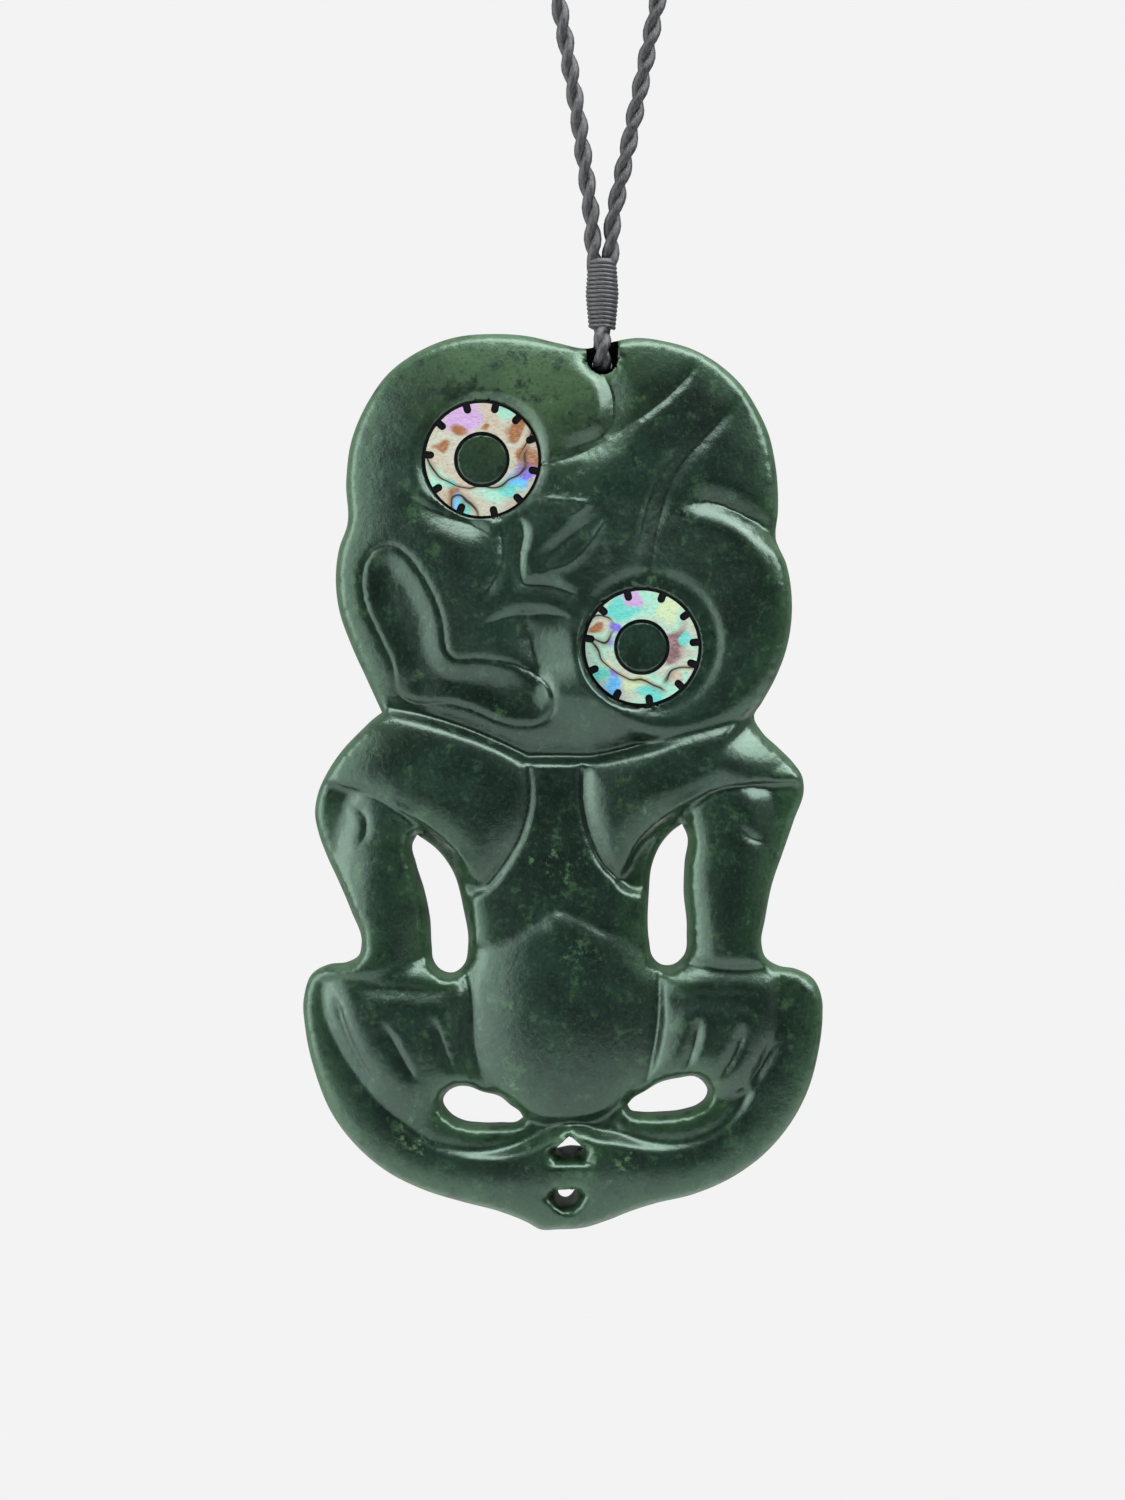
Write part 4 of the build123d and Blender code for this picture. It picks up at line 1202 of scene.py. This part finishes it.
def add_cords(finish):
    """The two sides of the neck cord and the bight through the hole."""
    for name, side, route in (("left", -1, neck_route_left), ("right", 1, neck_route_right)):
        points = [(side * out, 0, crotch_level + up) for out, up in whipping_tail + route + join_tail]
        plies = twisted_pair(drawn(name, points), neck_step, neck_pitch, neck_start * side)
        piece = add_piece("twisted_cord_" + name, *joined(plies), finish, "necklace", "neck_cord_" + name)
    bore_z = bore_level / mm
    points = [(0, y, bore_z + up) for y, up in bight_route]
    plies = twisted_pair(drawn("bight", points), bight_step, bight_pitch, bight_start)
    packed = np.array([(0, y, bore_z) for y in np.linspace(-packed_half, packed_half, packed_rings)])
    plies.append(strand(packed, bore_radius - packed_gap, packed_lay))
    piece = add_piece("cord_through_hole", *joined(plies), finish, "necklace", "cord_bight")


def on_whipping(level, turn, share=1):
    """Points on the whipping's rounded surface, or at a share of its width."""
    down, across, front = np.array(whipping_levels)[::-1].T
    x = np.interp(level, down, across) * np.cos(turn) * share
    y = np.interp(level, down, front) * np.sin(turn) * share
    return np.stack(np.broadcast_arrays(x, y, crotch_level + level), -1)


def add_whipping(finish):
    """Thread wound round both cords below the crotch, over a plain core."""
    turn = np.linspace(0, math.tau * thread_turns, thread_turns * thread_turn_points)
    thread = on_whipping(np.linspace(thread_top, thread_foot, len(turn)), turn)
    level = np.linspace(core_top, core_foot, core_rings)[:, None]
    turn = np.linspace(0, math.tau, core_around, endpoint=False)
    core = on_whipping(level, turn, core_share).reshape(-1, 3)
    core_faces = [face[::-1] for face in tube_faces(core_rings, core_around)]
    parts = [strand(thread, thread_radius, thread_lay), (core, core_faces)]
    piece = add_piece("whipping_thread", *joined(parts), finish, "necklace", "cord_whipping")


# Finishes
# Where pale flecks gather in the stone: across, up, and the radius in mm
fleck_clusters = [
    (-0.02, 0.41, 6.0), (0.03, 0.30, 5.0), (-0.27, 0.10, 5.0), (-0.10, 0.15, 4.0), (0.02, 0.83, 6.0),
    (0.10, 0.08, 5.0), (-0.26, 0.79, 4.0), (0.16, 0.46, 5.0), (-0.33, 0.25, 4.0), (0.15, 0.70, 5.0),
]

# The colours of the shells
pearl = (0.35, 0.37, 0.30)
blush = (0.35, 0.31, 0.24)
lilac = (0.38, 0.25, 0.45)
violet = (0.12, 0.10, 0.50)
azure = (0.08, 0.34, 0.62)
teal = (0.08, 0.42, 0.38)
mint = (0.24, 0.48, 0.38)
lime = (0.40, 0.50, 0.30)
rust = (0.22, 0.09, 0.03)
mauve = (0.15, 0.08, 0.09)

# Patches from each ring's centre: across and up in mm, radius, colour
upper_patches = [
    (-2.2, 4.9, 2.6, lilac), (0.7, 4.7, 1.8, blush), (2.6, 5.6, 1.2, mint), (-5.2, 2.2, 1.6, pearl),
    (-2.5, 3.3, 1.1, rust), (0.2, 3.3, 0.7, rust), (3.5, 3.2, 0.9, rust), (5.4, 0.6, 1.5, rust),
    (-4.8, 1.6, 0.7, rust), (-5.2, -2.0, 1.6, mint), (-3.4, -2.6, 1.2, teal), (1.0, -3.7, 1.6, mint),
    (3.0, -3.0, 1.5, teal), (4.3, -2.2, 1.5, azure), (5.1, -1.3, 1.3, violet), (-3.0, -4.2, 1.5, rust),
    (-2.4, -5.0, 1.3, azure), (-1.4, -5.4, 1.0, teal), (3.6, -4.6, 1.2, blush), (-5.6, 0.4, 1.0, blush),
]
lower_patches = [
    (0.2, 5.0, 2.8, mint), (-2.4, 4.3, 2.0, teal), (-1.0, 5.9, 0.9, lilac), (3.0, 4.6, 1.6, lime),
    (-4.7, 2.4, 1.6, pearl), (-5.0, 2.5, 0.7, rust), (-3.4, 1.7, 1.0, violet), (-5.2, 0.4, 1.6, mint),
    (4.1, 0.9, 1.9, mauve), (3.8, -0.8, 1.2, mauve), (5.6, 1.0, 1.1, teal), (4.8, -1.9, 1.3, pearl),
    (-3.9, -1.8, 1.3, lime), (-3.2, -2.8, 1.0, violet), (-5.0, -2.8, 1.5, teal), (-3.0, -4.6, 1.6, azure),
    (-0.4, -4.2, 1.2, lime), (2.8, -4.4, 2.0, mint), (3.4, -3.6, 0.9, blush), (1.0, -5.4, 1.2, teal),
]
# Growth lines: centre and radius of the arc, and the reach across, all in mm
upper_veins = [(-0.5, 4.5, 7.55, -7.0, 5.5), (-2.3, -6.4, 2.0, -4.2, 0.2), (2.6, 2.2, 3.0, 3.8, 7.5)]
lower_veins = [(5.5, 9.2, 14.3, -7.0, 3.0), (5.0, -6.0, 3.7, 2.0, 6.5), (-5.0, 2.4, 1.6, -6.5, -2.8)]

# The greens of the stone, with painted light for its rims and top and a painted shadow for its hole
deep_green, body_green = (0.0015, 0.0048, 0.0032), (0.009, 0.023, 0.016)
# Mossy green of the head's top: partly the stone's own colour, partly painted light from above
moss_and_top_light_green = (0.045, 0.084, 0.038)
# Painted light: a broad painted glow of light through the thin stone near its rims, and a narrow lighter edge
painted_glow_green, painted_edge_light = (0.026, 0.070, 0.026), (0.024, 0.070, 0.022)
dark_spot, light_spot = (0.0020, 0.0055, 0.0035), (0.035, 0.075, 0.035)
fleck_green = (0.080, 0.150, 0.075)
dark_speck, light_speck = (0.0015, 0.0040, 0.0025), (0.050, 0.095, 0.060)
# Painted shadow: near black for the inside of the notch and the bore, where only shade falls
painted_hole_shadow = (0.002, 0.003, 0.002)

# How far the painted light at the stone's rims reaches in, in mm, and the mossy patch at the top of the head,
# which is partly the stone's own colour and partly painted light from above
edge_width, painted_glow_width = 0.9, 5.0
moss_and_top_light_place = (-0.08, 0.975)
moss_and_top_light_full, moss_and_top_light_none = 0.003, 0.019

# The shells' highlights, shades and growth lines
shell_light, shell_shade = (0.90, 0.85, 0.80), (0.10, 0.12, 0.12)
vein_brown, vein_black = (0.16, 0.12, 0.08), (0.030, 0.026, 0.024)

# The thin ends of a growth line, in mm
vein_end = 1.0


def stone_spot(across, up):
    """The place, in metres, of a spot on the figure's plane."""
    return (
        (across - hole_across) * tiki_width * mm,
        stone_high.y - slab_thickness * mm,
        bore_level + (up * tiki_height - bore_up) * mm,
    )


def greenstone():
    """Dark green stone with clouds and small pale flecks, rubbed to a satin polish; painted light makes its
    rims lighter and, with its mossy colour, the top of the head, and a painted shadow darkens the hole.
    """
    stone = Finish("greenstone", IOR=1.6, Specular_Tint=(0.70, 1.0, 0.84, 1))
    place = stone.place()
    cloud = stone.noise(place, 0.020, 3, 0.55, 0.6)
    patch = stone.noise(stone.place(offset=(0.3, 0.1, 0.2)), 0.007, 4, 0.6, 0.4)
    spot = stone.noise(place, 0.0022, 4, 0.65)
    fleck = stone.noise(place, 0.0015, 4, 0.75)
    grain = stone.noise(place, 0.0011, 3, 0.6)
    speck = stone.noise(place, 0.00045, 2, 0.6)
    rim = stone.attribute("rim")
    # Masks for the painted light at the rims; the narrow one also roughens the edge
    edge = (1 - rim / edge_width).clamped()
    painted_glow_share = (1 - rim / painted_glow_width).clamped() ** 2
    # Where the top of the head is lighter: partly mossy colour, partly painted light from above
    moss_and_top_light = stone.near(place, stone_spot(*moss_and_top_light_place), moss_and_top_light_full, moss_and_top_light_none)
    cluster = 0.35 * patch.between(0.56, 0.66)
    for across, up, radius in fleck_clusters:
        cluster = cluster + stone.near(place, stone_spot(across, up), 0.001, radius * mm)
    light = (0.55 * cloud + 0.35 * patch + 0.22 * grain).between(0.38, 0.80)
    colour = stone.mix(light, deep_green, body_green)
    # The top of the head: partly the stone's mossy colour, partly painted light from above
    colour = stone.mix((0.25 + patch) * moss_and_top_light * 0.8, colour, moss_and_top_light_green)
    # Painted light at the rims: a broad painted glow and a narrow lighter edge where light comes through and
    # round the thin stone
    colour = stone.mix(painted_glow_share * (0.1 + 0.9 * cloud), colour, painted_glow_green)
    colour = stone.mix(edge * (0.1 + 0.5 * patch), colour, painted_edge_light)
    colour = stone.mix(spot.between(0.53, 0.66) * 0.8, colour, dark_spot)
    colour = stone.mix(spot.between(0.44, 0.30) * 0.5, colour, light_spot)
    colour = stone.mix((fleck.between(0.53, 0.70) * cluster).clamped() * 0.85, colour, fleck_green)
    colour = stone.mix(speck.between(0.52, 0.74) * 0.18, colour, light_speck)
    colour = stone.mix(speck.between(0.46, 0.28) * 0.45, colour, dark_speck)
    stone.give(Base_Color=colour, Roughness=0.22 + 0.08 * grain + 0.06 * cloud + 0.30 * edge)
    # Painted shadow in the notch and the bore: a dark, dull colour with no shine
    stone.dulled(stone.attribute("hole").between(0.0, 0.25), painted_hole_shadow)
    stone.bump(grain * 0.5 + spot * 0.5, 0.00012, 0.6)
    return stone


def swayed(shell, place):
    """A point of the shell moved about a little, so that the borders of its patches are wavy."""
    sway = shell.node("TexNoise", {}, {"Vector": place, "Scale": 330.0, "Detail": 0.6}, "Color")
    sway = shell.node("VectorMath", {"operation": "SUBTRACT"}, {0: sway, 1: (0.5, 0.5, 0.5)})
    sway = shell.node("VectorMath", {"operation": "MULTIPLY"}, {0: sway, 1: (0.0040, 0, 0.0040)})
    return shell.node("VectorMath", {"operation": "ADD"}, {0: place, 1: sway})


def paua_shell(name, centre, ground, patches, veins):
    """Iridescent shell: charted patches of colour with wavy borders, dark growth lines and fine ripples."""
    shell = Finish(name, Roughness=0.22, Coat_Weight=0.6, Coat_Roughness=0.06, IOR=1.6)
    to_centre = tuple(-part for part in centre)
    place = shell.place(offset=to_centre)
    bent = swayed(shell, place)
    across_ring = shell.node("SeparateXYZ", {}, {0: place}, "X")
    colour = shell.mix(shell.noise(bent, 0.003, 2).between(0.35, 0.65), *ground)
    for across, up, radius, tint in patches:
        middle = (across * mm, 0, up * mm)
        colour = shell.mix(shell.near(bent, middle, 0.5 * radius * mm, 1.1 * radius * mm), colour, tint)
    ripple = shell.noise(shell.place((1, 1, 2.5), to_centre), 0.0007, 3, 0.6, 1.5)
    colour = shell.mix(ripple.between(0.40, 0.75) * 0.15, colour, shell_light)
    colour = shell.mix(ripple.between(0.46, 0.28) * 0.45, colour, shell_shade)
    for across, up, radius, low, high in veins:
        off_line = abs(shell.distance(bent, (across * mm, 0, up * mm)) - radius * mm)
        reach = across_ring.between(low * mm, (low + vein_end) * mm)
        reach = reach * across_ring.between(high * mm, (high - vein_end) * mm)
        colour = shell.mix((1 - off_line.between(0.0001, 0.0007)) * reach * 0.6, colour, vein_brown)
        colour = shell.mix((1 - off_line.between(0.00005, 0.00020)) * reach, colour, vein_black)
    shell.give(Base_Color=colour)
    shell.bump(ripple, 0.00004, 0.3)
    return shell


def black_resin():
    """Glossy black resin with a slight waviness."""
    resin = Finish("black_resin", Roughness=0.12, Coat_Weight=0.3)
    wave = resin.noise(resin.place(), 0.002, 2)
    resin.give(Base_Color=resin.mix(wave, (0.004, 0.004, 0.004), (0.010, 0.010, 0.011)))
    resin.bump(wave, 0.00005, 0.4)
    return resin


def waxed_cord():
    """Charcoal waxed thread, with fine fibres and a dull shine."""
    cord = Finish("waxed_cord", Coat_Weight=0.15, Coat_Roughness=0.4)
    fibre = cord.noise(cord.place((1, 1, 0.35)), 0.00022, 3, 0.6)
    dust = cord.noise(cord.place(), 0.0015, 2)
    colour = cord.mix(fibre.between(0.35, 0.70), (0.004, 0.0045, 0.005), (0.040, 0.042, 0.046))
    colour = cord.mix(dust.between(0.55, 0.75) * 0.3, colour, (0.07, 0.07, 0.075))
    cord.give(Base_Color=colour, Roughness=0.45 + 0.2 * fibre)
    cord.bump(fibre, 0.00010, 0.9)
    return cord


def whipping_finish():
    """Fine charcoal thread, a little lighter and greyer than the cord."""
    thread = Finish("whipping_thread", Coat_Weight=0.15, Coat_Roughness=0.35)
    fibre = thread.noise(thread.place((0.5, 0.5, 2)), 0.00018, 2, 0.6)
    colour = thread.mix(fibre.between(0.3, 0.7), (0.008, 0.0085, 0.010), (0.050, 0.052, 0.057))
    thread.give(Base_Color=colour, Roughness=0.40 + 0.2 * fibre)
    thread.bump(fibre, 0.00004, 0.7)
    return thread


def black_horn():
    """Satin black horn of the join, with faint streaks along it."""
    horn = Finish("join_horn", Coat_Weight=0.1)
    streak = horn.noise(horn.place((0.2, 1, 1)), 0.0009, 3, 0.6)
    colour = horn.mix(streak, (0.006, 0.006, 0.007), (0.022, 0.019, 0.017))
    horn.give(Base_Color=colour, Roughness=0.28 + 0.12 * streak)
    horn.bump(streak, 0.00003, 0.5)
    return horn


def pale_floor():
    """Matt pale grey with faint clouds."""
    floor = Finish("pale_floor", Roughness=0.9)
    floor.give(Base_Color=floor.mix(floor.noise(floor.place(), 0.2), (0.80, 0.80, 0.80), (0.84, 0.84, 0.84)))
    return floor


def dress(node, finish):
    """Gives a CAD node a finish."""
    for slot in frame["nodes"][node].material_slots:
        slot.material = finish.material


# Light and floor
# Panels: the place from the stone's middle, the width and height in metres, and the power in watts
panels = {
    "top": ((0.10, -0.14, 0.60), (0.7, 0.40), 8),
    "top right": ((0.46, -0.20, 0.40), (0.35, 0.40), 4),
    "left": ((-0.58, -0.14, 0.10), (0.35, 0.6), 3.5),
    "soft left": ((-0.46, -0.40, 0.02), (0.35, 0.7), 2.2),
    "low": ((-0.30, -0.22, -0.52), (0.5, 0.35), 1.6),
}

# The surround is dark in front of the stone and bright behind it, and brighter towards the light side
front_dark = {"From Min": -0.93, "From Max": -0.30, "To Min": 0.02, "To Max": 0.65}
light_side = (-0.5, 0.0, 0.6)
side_light = {"From Min": -0.7, "From Max": 0.5, "To Min": 0.25, "To Max": 1.0}
backdrop_grey = (0.896, 0.896, 0.896)

# The floor, in metres
floor_drop = 0.2
floor_radius = 0.75


def add_panel(name, shift, size, power):
    """A soft panel of light, turned to the stone, that the camera doesn't see."""
    middle = (stone_low + stone_high) / 2
    lamp = bpy.data.lights.new(name, "AREA")
    lamp.shape = "RECTANGLE"
    lamp.size, lamp.size_y = size
    lamp.energy = power
    aim = Vector((middle.x, 0, middle.z))
    panel = placed(name, lamp)
    panel.location = aim + Vector(shift)
    panel.rotation_euler = (-Vector(shift)).to_track_quat("-Z", "Y").to_euler()
    panel.visible_camera = False


def set_surround():
    """The world: a soft white surround for the light, and a plain pale backdrop for the camera."""
    world = bpy.data.worlds.new("studio")
    world.use_nodes = True
    graph = Graph(world.node_tree)
    surround = graph.nodes["Background"]
    heading = graph.node("TexCoord", {}, {}, "Generated")
    depth = graph.node("SeparateXYZ", {}, {0: heading}, "Y")
    aside = graph.node("VectorMath", {"operation": "DOT_PRODUCT"}, {0: heading, 1: light_side}, "Value")
    rise = graph.node("MapRange", {"interpolation_type": "SMOOTHSTEP"}, {"Value": depth, **front_dark})
    share = graph.node("MapRange", {}, {"Value": aside, **side_light})
    graph.fill(surround.inputs["Color"], (1, 1, 1))
    graph.fill(surround.inputs["Strength"], rise * share)
    seen = graph.node("Background", {}, {"Color": backdrop_grey})
    by_camera = graph.node("LightPath", {}, {}, "Is Camera Ray")
    lit = Value(graph, surround.outputs[0])
    choice = graph.node("MixShader", {}, {0: by_camera, 1: lit, 2: seen})
    graph.fill(graph.nodes["World Output"].inputs["Surface"], choice)
    bpy.context.scene.world = world
    bpy.context.scene.view_settings.view_transform = "Standard"


def add_floor():
    """A plain pale round floor well below the pendant."""
    place = (0, 0, stone_low.z - floor_drop)
    bpy.ops.mesh.primitive_circle_add(vertices=96, radius=floor_radius, fill_type="NGON", location=place)
    floor = bpy.context.object
    floor.name = "floor"
    floor.data.materials.append(pale_floor().material)


set_camera()
add_cords(waxed_cord())
add_whipping(whipping_finish())
add_stone(greenstone())
shells = {
    "upper": ((pearl, blush), upper_patches, upper_veins),
    "lower": ((mint, pearl), lower_patches, lower_veins),
}
resin = black_resin()
for eye_name, shell_chart in shells.items():
    ring_low, ring_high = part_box(eye_name + "_eye_ring")
    ring_face = ((ring_low.x + ring_high.x) / 2, ring_low.y, (ring_low.z + ring_high.z) / 2)
    dress(eye_name + "_eye_ring", paua_shell(eye_name + "_paua", ring_face, *shell_chart))
    dress(eye_name + "_eye_bed", resin)
dress("cord_join", black_horn())
for panel_name, panel_setting in panels.items():
    add_panel(panel_name, *panel_setting)
set_surround()
add_floor()
